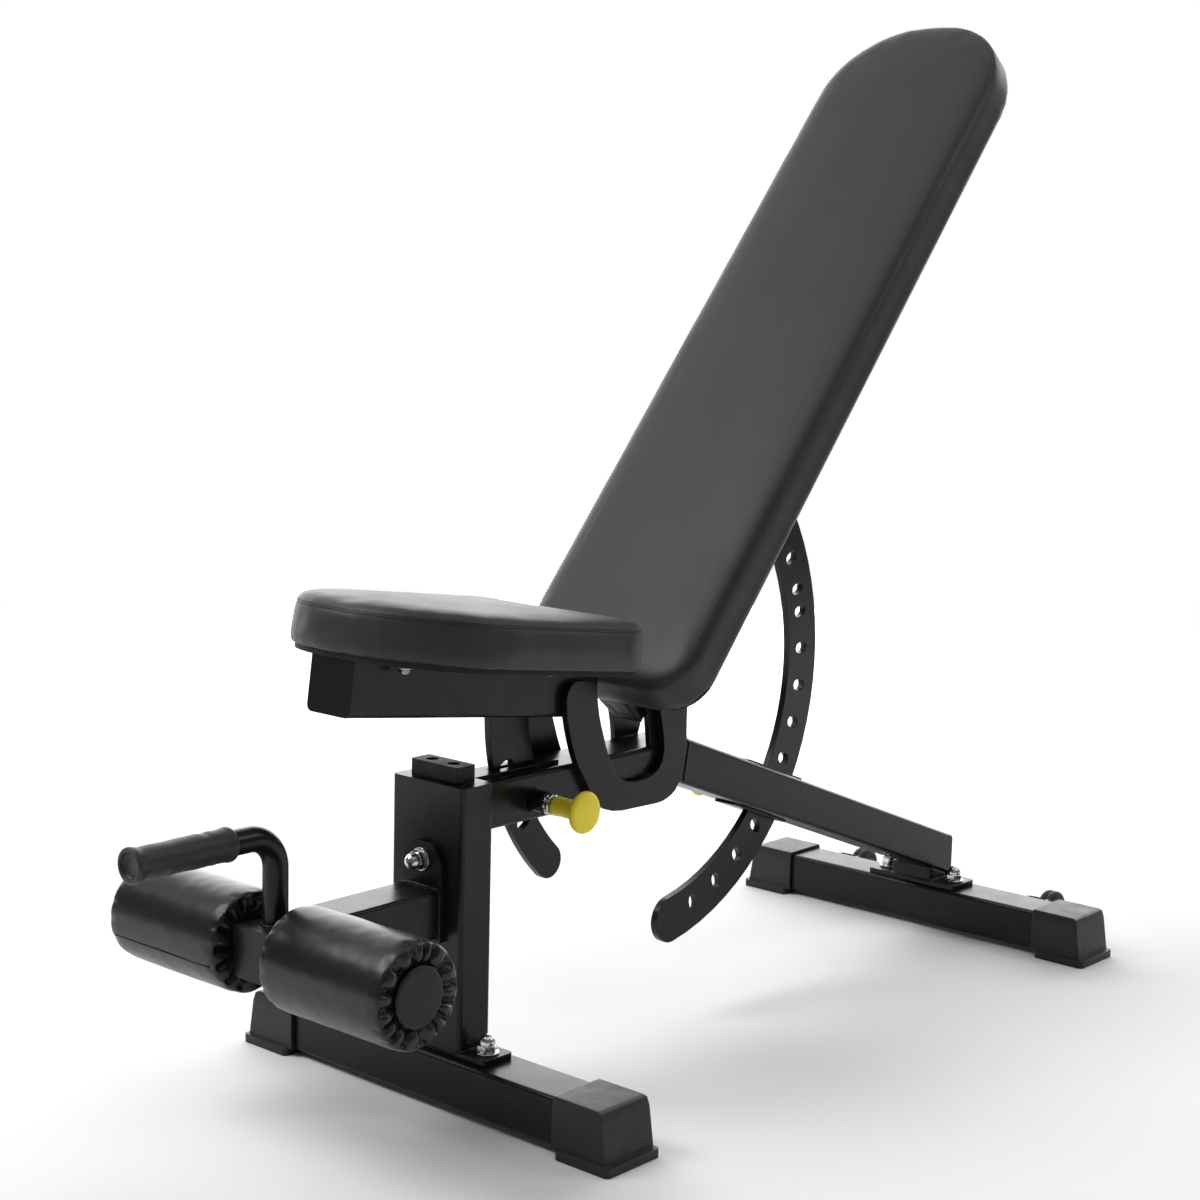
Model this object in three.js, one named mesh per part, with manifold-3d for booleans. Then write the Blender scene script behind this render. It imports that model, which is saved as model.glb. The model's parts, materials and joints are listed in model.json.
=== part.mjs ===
// Adjustable weight bench with a leg hold-down, as an assembly of separate pieces.
// Millimetres. +Z is up, +Y runs from the leg rollers to the rear foot, +X is the seat-pin side.
// The pieces are placed with Y = 0 at the middle of the front foot, and the whole bench is
// moved at the end so that the origin is on the floor under the middle of its bounding box.
import * as THREE from "three";
import { mergeVertices } from "three/addons/utils/BufferGeometryUtils.js";
import Module from "manifold-3d";

const wasm = await Module();
wasm.setup();

// ---------------------------------------------------------------- driving sizes
const GAP = 0.3;                 // left between pieces that are bolted, welded or pressed together
const CENTRE_Y = 308;            // middle of the bench's length, measured from the front foot
const FOOT_LENGTH = 525;         // over both end caps, also the bench's width
const FOOT_SPACING = 890;        // front foot to rear foot
const TUBE_WIDTH = 60;           // feet and main beam, measured across
const TUBE_HEIGHT = 50;
const TUBE_WALL = 2.5;
const TUBE_CORNER = 5;
const FOOT_BOTTOM = 6;           // underside of the foot tubes above the floor
const BEAM_TOP = 325.5;          // top of the level part of the main beam
const BEAM_BEND_Y = 353;         // where the beam turns down to the rear foot
const BEAM_SLOPE = 20.5;         // degrees
const BEAM_END_Y = 914;
const POST_WIDTH = 100;
const POST_DEPTH = 44;
const POST_TOP = 331;
const PLATE = 6;                 // thickness of the foot plates and pivot cheeks
const PIVOT_Y = 314;             // one bolt carries both the seat and the backrest
const PIVOT_Z = 389;
const PIVOT_R = 8;
const RUNNING = 0.09;            // radial clearance of turning pieces
const BACK_ANGLE = 50.2;         // backrest above level, as it stands
const SEAT_TILT = 7.4;           // seat nose above level, as it stands
const PAD_WIDTH = 250;
const BACK_STEP = 9.2;           // degrees between neighbouring backrest positions
const BACK_LOCK = -35;           // direction from the pivot to the backrest's lock pin
const BACK_LOCK_R = 281;
const SEAT_STEP = 8.4;
const SEAT_LOCK = 203.1;
const SEAT_LOCK_R = 234;
const ARM_TOP = 226;             // top of the leg-hold arm
const ARM_WIDTH = 52;
const ARM_HEIGHT = 50;
const ARM_END_Y = -244;
const ROLLER_Y = -215;
const ROLLER_Z = 201;
const ROLLER_R = 50;
const PIPE_R = 12.5;
const PIN_R = 6;
const PIPE_FACETS = 32;          // facets round the roller bar and what turns on it
const FINE = 24;                 // facets round smaller turned pieces
const ROUND = 16;                // facets round bolts and their holes

const FOOT_TOP = FOOT_BOTTOM + TUBE_HEIGHT;
const BEAM_BOTTOM = BEAM_TOP - TUBE_HEIGHT;
const HALF_TUBE = TUBE_WIDTH / 2;

// ---------------------------------------------------------------- finishes
function finish(hex, roughness, metalness) {
  return new THREE.MeshStandardMaterial({ color: hex, roughness, metalness });
}
const POWDER_COAT = finish(0x1b1b1c, 0.45, 0.3);
const CAP_PLASTIC = finish(0x1d1d1e, 0.6, 0);
const BLOCK_RUBBER = finish(0x161616, 0.85, 0);
const ZINC = finish(0xc4c7ca, 0.3, 0.9);
const YELLOW_PLASTIC = finish(0xf2cf1f, 0.45, 0);
const VINYL = finish(0x2a2a2b, 0.5, 0);
const ROLLER_VINYL = finish(0x1f1f20, 0.42, 0);
const GRIP_RUBBER = finish(0x141414, 0.8, 0);
const PLYWOOD = finish(0x24201d, 0.8, 0);
const SPRING_STEEL = finish(0x8d9093, 0.35, 0.9);
const WHEEL_RUBBER = finish(0x171717, 0.7, 0);

const bench = new THREE.Group();
bench.name = "weight_bench";

function add(name, geometry, material) {
  const mesh = new THREE.Mesh(geometry, material);
  mesh.name = name;
  bench.add(mesh);
}

// ---------------------------------------------------------------- solid tools
function toSolid(geometry) {
  const bare = geometry.clone();
  bare.deleteAttribute("normal");
  bare.deleteAttribute("uv");
  const merged = mergeVertices(bare, 1e-4);
  return new wasm.Manifold(new wasm.Mesh({
    numProp: 3,
    vertProperties: new Float32Array(merged.attributes.position.array),
    triVerts: new Uint32Array(merged.index.array),
  }));
}

function toGeometry(solid) {
  const mesh = solid.getMesh();
  const geometry = new THREE.BufferGeometry();
  geometry.setAttribute("position", new THREE.BufferAttribute(new Float32Array(mesh.vertProperties), 3));
  geometry.setIndex(new THREE.BufferAttribute(new Uint32Array(mesh.triVerts), 1));
  geometry.computeVertexNormals();
  return geometry;
}

function cut(geometry, ...tools) {
  let solid = toSolid(geometry);
  for (const tool of tools) {
    solid = solid.subtract(toSolid(tool));
  }
  return toGeometry(solid);
}

function join(geometry, ...others) {
  let solid = toSolid(geometry);
  for (const other of others) {
    solid = solid.add(toSolid(other));
  }
  return toGeometry(solid);
}

// Keeps the part of a geometry on the side of a plane that the normal (y, z) points to.
function keepSide(geometry, pointY, pointZ, normalY, normalZ) {
  const offset = pointY * normalY + pointZ * normalZ;
  return toGeometry(toSolid(geometry).trimByPlane([0, normalY, normalZ], offset));
}

function basis(geometry, xAxis, yAxis, zAxis) {
  const matrix = new THREE.Matrix4().makeBasis(xAxis, yAxis, zAxis);
  return geometry.applyMatrix4(matrix);
}
const X = new THREE.Vector3(1, 0, 0);
const Y = new THREE.Vector3(0, 1, 0);
const Z = new THREE.Vector3(0, 0, 1);

function extrude(shape, depth, curveSegments = 4) {
  return new THREE.ExtrudeGeometry(shape, { depth, bevelEnabled: false, curveSegments });
}
// A shape drawn in (Y, Z), made solid from x0 to x1.
function slabAcross(shape, x0, x1, curveSegments) {
  return basis(extrude(shape, x1 - x0, curveSegments), Y, Z, X).translate(x0, 0, 0);
}
// A shape drawn in (Z, X), made solid from y0 to y1.
function slabAlong(shape, y0, y1, curveSegments) {
  return basis(extrude(shape, y1 - y0, curveSegments), Z, X, Y).translate(0, y0, 0);
}
// A shape drawn in (X, Y), made solid from z0 to z1.
function slabUp(shape, z0, z1, curveSegments) {
  return extrude(shape, z1 - z0, curveSegments).translate(0, 0, z0);
}

function polygon(points) {
  return new THREE.Shape(points.map(([u, v]) => new THREE.Vector2(u, v)));
}

function roundedRect(u0, u1, v0, v1, radius) {
  const shape = new THREE.Shape();
  shape.moveTo(u0 + radius, v0);
  shape.absarc(u1 - radius, v0 + radius, radius, -Math.PI / 2, 0, false);
  shape.absarc(u1 - radius, v1 - radius, radius, 0, Math.PI / 2, false);
  shape.absarc(u0 + radius, v1 - radius, radius, Math.PI / 2, Math.PI, false);
  shape.absarc(u0 + radius, v0 + radius, radius, Math.PI, 1.5 * Math.PI, false);
  shape.closePath();
  return shape;
}

function hollowRect(u0, u1, v0, v1, corner, wall) {
  const shape = roundedRect(u0, u1, v0, v1, corner);
  shape.holes.push(roundedRect(u0 + wall, u1 - wall, v0 + wall, v1 - wall, corner - wall));
  return shape;
}

function box(x0, x1, y0, y1, z0, z1) {
  const geometry = new THREE.BoxGeometry(x1 - x0, y1 - y0, z1 - z0);
  return geometry.translate((x0 + x1) / 2, (y0 + y1) / 2, (z0 + z1) / 2);
}

// A turned piece: profile points are [radius, distance along the axis].
function turned(profile, segments = ROUND) {
  const points = profile.map(([r, h]) => new THREE.Vector2(r, h));
  return new THREE.LatheGeometry(points, segments);
}
function turnedAlongX(profile, y, z, segments) {
  return turned(profile, segments).rotateZ(-Math.PI / 2).translate(0, y, z);
}
function turnedAlongY(profile, x, z, segments) {
  return turned(profile, segments).translate(x, 0, z);
}
function turnedUp(profile, x, y, segments) {
  return turned(profile, segments).rotateX(Math.PI / 2).translate(x, y, 0);
}
// Turns a piece drawn on the +X side to the -X side when the sign asks for it.
function facing(geometry, sign) {
  return sign < 0 ? geometry.rotateZ(Math.PI) : geometry;
}
function rod(radius, from, to) {
  return [[0, from], [radius, from], [radius, to], [0, to]];
}

const radians = THREE.MathUtils.degToRad;
function aroundPivot(radius, degrees) {
  const turn = radians(degrees);
  return [PIVOT_Y + radius * Math.cos(turn), PIVOT_Z + radius * Math.sin(turn)];
}

// A strip that follows a circle round the pivot, from one direction to another, anticlockwise.
function ringSector(inner, outer, fromDegrees, toDegrees) {
  const shape = new THREE.Shape();
  shape.absarc(PIVOT_Y, PIVOT_Z, outer, radians(fromDegrees), radians(toDegrees), false);
  shape.absarc(PIVOT_Y, PIVOT_Z, inner, radians(toDegrees), radians(fromDegrees), true);
  shape.closePath();
  return shape;
}

// A slot with round ends, longer towards the pivot, as a cutting tool through a plate in mid-plane.
const SLOT_HALF_PLATE = 4;
function lockSlot(radius, degrees, length, width) {
  const half = (length - width) / 2;
  const shape = new THREE.Shape();
  shape.absarc(half, 0, width / 2, -Math.PI / 2, Math.PI / 2, false);
  shape.absarc(-half, 0, width / 2, Math.PI / 2, 1.5 * Math.PI, false);
  shape.closePath();
  const [y, z] = aroundPivot(radius, degrees);
  return slabAcross(shape, -SLOT_HALF_PLATE - 1, SLOT_HALF_PLATE + 1, 2)
    .rotateX(radians(degrees))
    .translate(0, y, z);
}

// ---------------------------------------------------------------- feet
const CAP_INNER = 188;           // where a cap begins, measured from the mid-plane
const TUBE_END = 240;
const BOLT_HOLE_R = PIN_R + 0.4;
function footTube(y, boltX) {
  const section = hollowRect(FOOT_BOTTOM, FOOT_TOP, -HALF_TUBE, HALF_TUBE, TUBE_CORNER, TUBE_WALL);
  const tube = basis(extrude(section, 2 * TUBE_END, 2), Z, Y, X.clone().negate())
    .translate(TUBE_END, y, 0);
  const hole = rod(BOLT_HOLE_R, FOOT_TOP - 10, FOOT_TOP + 5);
  const holes = [-boltX, boltX].map((x) => turnedUp(hole, x, y));
  return cut(tube, ...holes);
}

const CAP_SOLE = 9;
const CAP_TOP = FOOT_TOP + 3.5;
const CAP_SOLE_HALF = 38.5;      // half width of the sole that stands on the floor
const CAP_OUTER = FOOT_LENGTH / 2;
function footCap(y, side) {
  const shell = slabAlong(polygon([
    [CAP_SOLE - 1, CAP_INNER], [CAP_SOLE - 1, CAP_OUTER - 6], [CAP_TOP - 9.5, CAP_OUTER - 12.5],
    [CAP_TOP - 2, CAP_OUTER - 14.5], [CAP_TOP, CAP_OUTER - 18.5], [CAP_TOP, CAP_INNER]]),
  -HALF_TUBE - 5, HALF_TUBE + 5);
  const flanks = [[CAP_SOLE_HALF - 1.5, 0], [35, 48], [33.5, 58], [31, CAP_TOP + 1.5]];
  const otherFlanks = flanks.map(([across, up]) => [-across, up]).reverse();
  const taper = slabAcross(polygon([...flanks, ...otherFlanks]), CAP_INNER - 1, CAP_OUTER);
  const sole = slabUp(
    roundedRect(CAP_INNER + 6, CAP_OUTER, -CAP_SOLE_HALF, CAP_SOLE_HALF, TUBE_CORNER), 0, CAP_SOLE, 2);
  const body = toGeometry(toSolid(shell).intersect(toSolid(taper)).add(toSolid(sole)));
  const pocket = slabAcross(
    roundedRect(-HALF_TUBE - GAP, HALF_TUBE + GAP, FOOT_BOTTOM - GAP, FOOT_TOP + GAP, TUBE_CORNER),
    CAP_INNER - 2, TUBE_END + GAP, 2);
  return facing(cut(body, pocket), side).translate(0, y, 0);
}

// A bolt whose domed cap nut stands on a plate; its shank runs down through the holes.
function capNutBolt(x, y, z) {
  const hexagon = turnedUp(rod(10.5, z + 2, z + 9.5), x, y, 6);
  const turnedPart = turnedUp([
    [0, z - 22], [PIN_R, z - 22], [PIN_R, z + GAP], [12, z + GAP], [12, z + 2.3], [8.6, z + 2.3],
    [8.6, z + 12], [7.2, z + 16], [4.2, z + 19.3], [0, z + 20.3]], x, y);
  return join(turnedPart, hexagon);
}

const FRONT_BOLT_X = 68;
const REAR_BOLT_X = 51;
const PLATE_TOP = FOOT_TOP + GAP + PLATE;
for (const [name, y, boltX] of [["front", 0, FRONT_BOLT_X], ["rear", FOOT_SPACING, REAR_BOLT_X]]) {
  add(`${name}_foot_tube`, footTube(y, boltX), POWDER_COAT);
  for (const [side, sign] of [["left", -1], ["right", 1]]) {
    add(`${name}_foot_cap_${side}`, footCap(y, sign), CAP_PLASTIC);
    add(`${name}_foot_bolt_${side}`, capNutBolt(sign * boltX, y, PLATE_TOP), ZINC);
  }
}

function footPlate(halfLength, halfWidth, y, boltX) {
  const plate = slabUp(
    roundedRect(-halfLength, halfLength, y - halfWidth, y + halfWidth, 4), FOOT_TOP + GAP, PLATE_TOP, 2);
  const hole = rod(BOLT_HOLE_R, FOOT_TOP - 4, PLATE_TOP + 4);
  const holes = [-boltX, boltX].map((x) => turnedUp(hole, x, y));
  return cut(plate, ...holes);
}

// ---------------------------------------------------------------- post and stop block
const POST_WALL = 3;
const ARM_BOLT_Z = 253;
const POST_BOTTOM = PLATE_TOP + GAP;
const HALF_POST = POST_WIDTH / 2;
const HALF_DEPTH = POST_DEPTH / 2;
const BASE_PLATE_HALF = [84, 20.5];   // half length and half width
add("post_base_plate", footPlate(...BASE_PLATE_HALF, 0, FRONT_BOLT_X), POWDER_COAT);
const insideX = HALF_POST - POST_WALL;
const insideY = HALF_DEPTH - POST_WALL;
add("post", cut(
  slabUp(
    roundedRect(-HALF_POST, HALF_POST, -HALF_DEPTH, HALF_DEPTH, TUBE_CORNER), POST_BOTTOM, POST_TOP, 4),
  slabUp(
    roundedRect(-insideX, insideX, -insideY, insideY, TUBE_CORNER - POST_WALL),
    POST_BOTTOM - 5, POST_TOP - 4, 2),
  turnedAlongY(rod(BOLT_HOLE_R, -HALF_DEPTH - 5, -HALF_DEPTH + 10), 0, ARM_BOLT_Z)), POWDER_COAT);

const BLOCK_TOP = POST_TOP + 17;
const BLOCK_HALF = [33, 13];
const BLOCK_SCREW_X = 15;
const SCREW_SEAT = POST_TOP + 7;
const blockHoles = [];
for (const x of [-BLOCK_SCREW_X, BLOCK_SCREW_X]) {
  blockHoles.push(turnedUp(rod(6.5, SCREW_SEAT, BLOCK_TOP + 5), x, 0));
  blockHoles.push(turnedUp(rod(3.3, POST_TOP - 5, BLOCK_TOP + 5), x, 0));
}
const [blockX, blockY] = BLOCK_HALF;
add("seat_stop_block", cut(
  slabUp(roundedRect(-blockX, blockX, -blockY, blockY, 2.5), POST_TOP + GAP, BLOCK_TOP, 2),
  ...blockHoles), BLOCK_RUBBER);
for (const [side, sign] of [["left", -1], ["right", 1]]) {
  add(`stop_block_screw_${side}`, turnedUp([
    [0, POST_TOP + 0.5], [3, POST_TOP + 0.5], [3, SCREW_SEAT + GAP], [5.6, SCREW_SEAT + GAP],
    [5.6, SCREW_SEAT + 4], [4.8, SCREW_SEAT + 5.2], [2.6, SCREW_SEAT + 5.2], [2.6, SCREW_SEAT + 2.8],
    [0, SCREW_SEAT + 2.8]], sign * BLOCK_SCREW_X, 0), ZINC);
}

// ---------------------------------------------------------------- main beam
const slope = radians(BEAM_SLOPE);
const BEND_DROP = TUBE_HEIGHT * Math.tan(slope / 2);
const mitreNormal = [Math.cos(slope / 2), -Math.sin(slope / 2)];
const beamSection = (z0, z1) => hollowRect(z0, z1, -HALF_TUBE, HALF_TUBE, TUBE_CORNER, TUBE_WALL);
const STRIP_HALF = 18.5;         // half width of the seat's locking strip
const WEB_INNER = 195;           // inner radius of the web above that strip
const LADDER_R = 283.5;          // middle radius of the backrest's locking plate
const LADDER_HALF = 26.5;
const PLATE_ROOM = 3;            // between a locking plate's edge and the end of its passage
const PASSAGE_HALF = 5;          // half width of a passage, across the bench
const SEAT_SWEEP = [185, 235];   // directions from the pivot that a passage takes in, in degrees
const BACK_SWEEP = [-62, -18];
function passage(inner, outer, sweep) {
  const room = ringSector(inner - PLATE_ROOM, outer + PLATE_ROOM, ...sweep);
  return slabAcross(room, -PASSAGE_HALF, PASSAGE_HALF, 6);
}
const seatArcPassage = passage(SEAT_LOCK_R - STRIP_HALF, SEAT_LOCK_R + STRIP_HALF, SEAT_SWEEP);
const seatWebPassage = passage(WEB_INNER, SEAT_LOCK_R + STRIP_HALF, SEAT_SWEEP);
const ladderPassage = passage(LADDER_R - LADDER_HALF, LADDER_R + LADDER_HALF, BACK_SWEEP);

const [seatPinY, seatPinZ] = aroundPivot(SEAT_LOCK_R, SEAT_LOCK);
const [backPinY, backPinZ] = aroundPivot(BACK_LOCK_R, BACK_LOCK);
const PIN_BORE_R = PIN_R + 0.3;
const seatPinBore = turnedAlongX(rod(PIN_BORE_R, 0, HALF_TUBE + 8), seatPinY, seatPinZ, FINE);
const backPinBore = turnedAlongX(rod(PIN_BORE_R, -HALF_TUBE - 8, 0), backPinY, backPinZ, FINE);
const upperHalf = box(-20, 20, 0, 300, BEAM_TOP - 20, BEAM_TOP + 20);
const topSlot = toGeometry(toSolid(seatWebPassage).intersect(toSolid(upperHalf)));

let levelBeam = slabAlong(beamSection(BEAM_BOTTOM, BEAM_TOP), HALF_DEPTH + GAP, BEAM_BEND_Y + 20, 2);
levelBeam = keepSide(levelBeam, BEAM_BEND_Y, BEAM_TOP, -mitreNormal[0], -mitreNormal[1]);
add("beam_level_tube", cut(levelBeam, topSlot, seatArcPassage, seatPinBore), POWDER_COAT);

const SLOPE_STOCK = [-40, 640];  // the tube before its ends are cut, along the slope from the bend
let slopedBeam = slabAlong(beamSection(-TUBE_HEIGHT, 0), ...SLOPE_STOCK, 2)
  .rotateX(-slope)
  .translate(0, BEAM_BEND_Y, BEAM_TOP);
slopedBeam = keepSide(slopedBeam, BEAM_BEND_Y + GAP, BEAM_TOP, mitreNormal[0], mitreNormal[1]);
slopedBeam = keepSide(slopedBeam, BEAM_END_Y, 0, -1, 0);
slopedBeam = keepSide(slopedBeam, 0, PLATE_TOP + GAP, 0, 1);
add("beam_sloped_tube", cut(slopedBeam, ladderPassage, backPinBore), POWDER_COAT);

// The slope's underside, used to shape what is welded below it.
const undersideY = BEAM_BEND_Y - BEND_DROP;
const STUB_FRONT = 864;
const STUB_REAR = 905;
const STUB_STOCK_TOP = 120;
let stub = slabUp(
  roundedRect(-HALF_TUBE, HALF_TUBE, STUB_FRONT, STUB_REAR, TUBE_CORNER), PLATE_TOP - 1, STUB_STOCK_TOP, 2);
stub = keepSide(stub, undersideY, BEAM_BOTTOM - 0.4, -Math.sin(slope), -Math.cos(slope));
const REAR_PLATE_HALF = [66, 25];
add("rear_foot_mount", join(
  footPlate(...REAR_PLATE_HALF, FOOT_SPACING, REAR_BOLT_X), stub), POWDER_COAT);

// Slotted guide plates that steady the two locking plates where they enter the beam.
const GUIDE_HALF_WIDTH = 15;
const GUIDE_THICKNESS = 3;
function guidePlate(halfLength, turn, y, z, passage) {
  const plate = slabUp(
    roundedRect(-GUIDE_HALF_WIDTH, GUIDE_HALF_WIDTH, -halfLength, halfLength, 4), 0, GUIDE_THICKNESS, 2)
    .rotateX(turn)
    .translate(0, y, z);
  return cut(plate, passage);
}
const slopeNormal = [Math.sin(slope), Math.cos(slope)];
function onSlope(along, above) {
  const y = BEAM_BEND_Y + along * Math.cos(slope) + above * slopeNormal[0];
  const z = BEAM_TOP - along * Math.sin(slope) + above * slopeNormal[1];
  return [y, z];
}
const SEAT_GUIDE_HALF = 66;
const SEAT_GUIDE_Y = 91;
const LADDER_GUIDE_HALF = 56;
const upperGuide = onSlope(200, GAP);
const lowerGuide = onSlope(188, -TUBE_HEIGHT - GAP - GUIDE_THICKNESS);
add("seat_arc_guide",
  guidePlate(SEAT_GUIDE_HALF, 0, SEAT_GUIDE_Y, BEAM_TOP + GAP, seatWebPassage), POWDER_COAT);
add("ladder_guide_upper",
  guidePlate(LADDER_GUIDE_HALF, -slope, ...upperGuide, ladderPassage), POWDER_COAT);
add("ladder_guide_lower",
  guidePlate(LADDER_GUIDE_HALF, -slope, ...lowerGuide, ladderPassage), POWDER_COAT);

// ---------------------------------------------------------------- pivot
const CHEEK_INNER = 22;
const cheek = new THREE.Shape();
const CHEEK_R = 35;
cheek.moveTo(PIVOT_Y - 26, BEAM_TOP + GAP);
cheek.lineTo(PIVOT_Y + 12, BEAM_TOP + GAP);
cheek.lineTo(PIVOT_Y + CHEEK_R - 0.5, PIVOT_Z - 2);
cheek.absarc(PIVOT_Y, PIVOT_Z, CHEEK_R, radians(-8), radians(188), false);
cheek.closePath();
const pivotBore = (x0, x1) => turnedAlongX(rod(PIVOT_R + RUNNING, x0, x1), PIVOT_Y, PIVOT_Z, FINE);
for (const [side, sign] of [["left", -1], ["right", 1]]) {
  const x0 = sign > 0 ? CHEEK_INNER : -CHEEK_INNER - PLATE;
  add(`pivot_cheek_${side}`,
    cut(slabAcross(cheek, x0, x0 + PLATE, 6), pivotBore(x0 - 1, x0 + PLATE + 1)), POWDER_COAT);
}

const LINK_INNER = 31;
const LINK_OUTER = 39;
const PIVOT_HEAD_R = 13;
const PIVOT_HALF = 50;
const PIVOT_HEAD = LINK_OUTER + 0.8;
const halfPivot = [
  [PIVOT_R, PIVOT_HEAD], [PIVOT_HEAD_R, PIVOT_HEAD], [PIVOT_HEAD_R, PIVOT_HALF - 2],
  [PIVOT_HEAD_R - 2, PIVOT_HALF], [0, PIVOT_HALF]];
const otherHalfPivot = halfPivot.map(([r, x]) => [r, -x]).reverse();
add("pivot_bolt", turnedAlongX([...otherHalfPivot, ...halfPivot], PIVOT_Y, PIVOT_Z, FINE), ZINC);

// ---------------------------------------------------------------- seat
// Seat pieces are drawn level with the pivot at the origin, then tipped nose-up and moved to the pivot.
function placeOnSeat(geometry) {
  return geometry.rotateX(-radians(SEAT_TILT)).translate(0, PIVOT_Y, PIVOT_Z);
}
const SEAT_FRONT = -476;
const SEAT_REAR = -153;
const SEAT_PAD_BOTTOM = 21;
const SEAT_PAD_TOP = 75.5;
const CROWN = 4;
const PAD_NOSE_R = 112;          // corner radius at the seat's front and at the backrest's upper end
const SEAT_REAR_R = 18;
const BACK_LOW_R = 48;
const CHANNEL_FRONT = -467;
const CHANNEL_REAR = -119;
const CHANNEL_BOTTOM = -34;
const CHANNEL_TOP = SEAT_PAD_BOTTOM - GAP;
const BOARD = 12;
const BOARD_INSET = 6;

// A pad's outline in (X, Y) with its own corner radius at each end.
const SMALLEST_CORNER = 4;
function padOutline(inset, y0, y1, nearRadius, farRadius) {
  const half = PAD_WIDTH / 2 - inset;
  const low = y0 + inset;
  const high = y1 - inset;
  const r0 = Math.max(nearRadius - inset, SMALLEST_CORNER);
  const r1 = Math.max(farRadius - inset, SMALLEST_CORNER);
  const shape = new THREE.Shape();
  shape.moveTo(-half + r0, low);
  shape.absarc(half - r0, low + r0, r0, -Math.PI / 2, 0, false);
  shape.absarc(half - r1, high - r1, r1, 0, Math.PI / 2, false);
  shape.absarc(-half + r1, high - r1, r1, Math.PI / 2, Math.PI, false);
  shape.absarc(-half + r0, low + r0, r0, Math.PI, 1.5 * Math.PI, false);
  shape.closePath();
  return shape;
}

// An upholstered pad as one skin over a stack of outlines: each level is [height, inset]. The
// underside has a pocket for the board.
function padSolid(outline, levels, pocketInset) {
  const rings = levels.map(([height, inset]) => {
    const points = outline(inset).getPoints(4);
    points.pop();
    return points.map((p) => new THREE.Vector3(p.x, p.y, height));
  });
  const count = rings[0].length;
  const positions = [];
  const push = (...vertices) => vertices.forEach((v) => positions.push(v.x, v.y, v.z));
  for (let level = 0; level + 1 < rings.length; level += 1) {
    for (let i = 0; i < count; i += 1) {
      const next = (i + 1) % count;
      const [a, b] = [rings[level][i], rings[level][next]];
      const [c, d] = [rings[level + 1][i], rings[level + 1][next]];
      push(a, b, d, a, d, c);
    }
  }
  const centreOf = (ring) => ring
    .reduce((sum, v) => sum.add(v), new THREE.Vector3())
    .divideScalar(count);
  const bottom = rings[0];
  const top = rings[rings.length - 1];
  const bottomCentre = centreOf(bottom);
  const topCentre = centreOf(top);
  for (let i = 0; i < count; i += 1) {
    const next = (i + 1) % count;
    push(bottomCentre, bottom[next], bottom[i]);
    push(topCentre, top[i], top[next]);
  }
  const geometry = new THREE.BufferGeometry();
  geometry.setAttribute("position", new THREE.BufferAttribute(new Float32Array(positions), 3));
  const low = levels[0][0];
  return cut(mergeVertices(geometry, 1e-4), slabUp(outline(pocketInset), low - 2, low + BOARD + GAP));
}

const seatOutline = (inset) => padOutline(inset, SEAT_FRONT, SEAT_REAR, PAD_NOSE_R, SEAT_REAR_R);
const CROWN_INSET = 80;
const padLevels = (low, high) => [
  [low, 4], [low + 5, 0], [high - 9, 0], [high - 2.5, 2.5], [high, 8], [high + CROWN, CROWN_INSET],
];
add("seat_pad", placeOnSeat(padSolid(
  seatOutline, padLevels(SEAT_PAD_BOTTOM, SEAT_PAD_TOP), BOARD_INSET - GAP)), VINYL);
add("seat_board", placeOnSeat(slabUp(
  seatOutline(BOARD_INSET), SEAT_PAD_BOTTOM, SEAT_PAD_BOTTOM + BOARD)), PLYWOOD);

const CHANNEL_WALL = 3;
const channelInside = box(
  -HALF_TUBE + CHANNEL_WALL, HALF_TUBE - CHANNEL_WALL,
  CHANNEL_FRONT + CHANNEL_WALL, CHANNEL_REAR + 5,
  CHANNEL_BOTTOM + CHANNEL_WALL, CHANNEL_TOP + 5);
add("seat_channel", placeOnSeat(cut(
  slabAlong(
    roundedRect(CHANNEL_BOTTOM, CHANNEL_TOP + 20, -HALF_TUBE, HALF_TUBE, 7),
    CHANNEL_FRONT, CHANNEL_REAR, 4),
  box(-60, 60, CHANNEL_FRONT - 5, CHANNEL_REAR + 5, CHANNEL_TOP, CHANNEL_TOP + 40),
  channelInside)), POWDER_COAT);

// The locking plate under the seat: a wide web below the channel that narrows to a curved strip.
const SEAT_TOP_ANGLE = 180;
const WEB_END = 197.5;
const STRIP_END = 227.3;
const seatArc = new THREE.Shape();
const stripInner = SEAT_LOCK_R - STRIP_HALF;
const stripOuter = SEAT_LOCK_R + STRIP_HALF;
seatArc.absarc(PIVOT_Y, PIVOT_Z, stripOuter, radians(SEAT_TOP_ANGLE), radians(STRIP_END), false);
const [tipY, tipZ] = aroundPivot(SEAT_LOCK_R, STRIP_END);
seatArc.absarc(tipY, tipZ, STRIP_HALF, radians(STRIP_END), radians(STRIP_END + 180), false);
seatArc.absarc(PIVOT_Y, PIVOT_Z, stripInner, radians(STRIP_END), radians(WEB_END), true);
seatArc.absarc(PIVOT_Y, PIVOT_Z, WEB_INNER, radians(WEB_END), radians(SEAT_TOP_ANGLE), true);
seatArc.closePath();
const SLOT_WIDTH = 13;
const seatSlots = [-1, 0, 1].map(
  (step) => lockSlot(SEAT_LOCK_R, SEAT_LOCK + step * SEAT_STEP, 20, SLOT_WIDTH));
let seatArcPlate = cut(slabAcross(seatArc, -SLOT_HALF_PLATE, SLOT_HALF_PLATE, 8), ...seatSlots);
const tilt = radians(SEAT_TILT);
const underChannel = CHANNEL_BOTTOM - GAP;
seatArcPlate = keepSide(
  seatArcPlate,
  PIVOT_Y + underChannel * Math.sin(tilt), PIVOT_Z + underChannel * Math.cos(tilt),
  -Math.sin(tilt), -Math.cos(tilt));
add("seat_arc_plate", seatArcPlate, POWDER_COAT);

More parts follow.
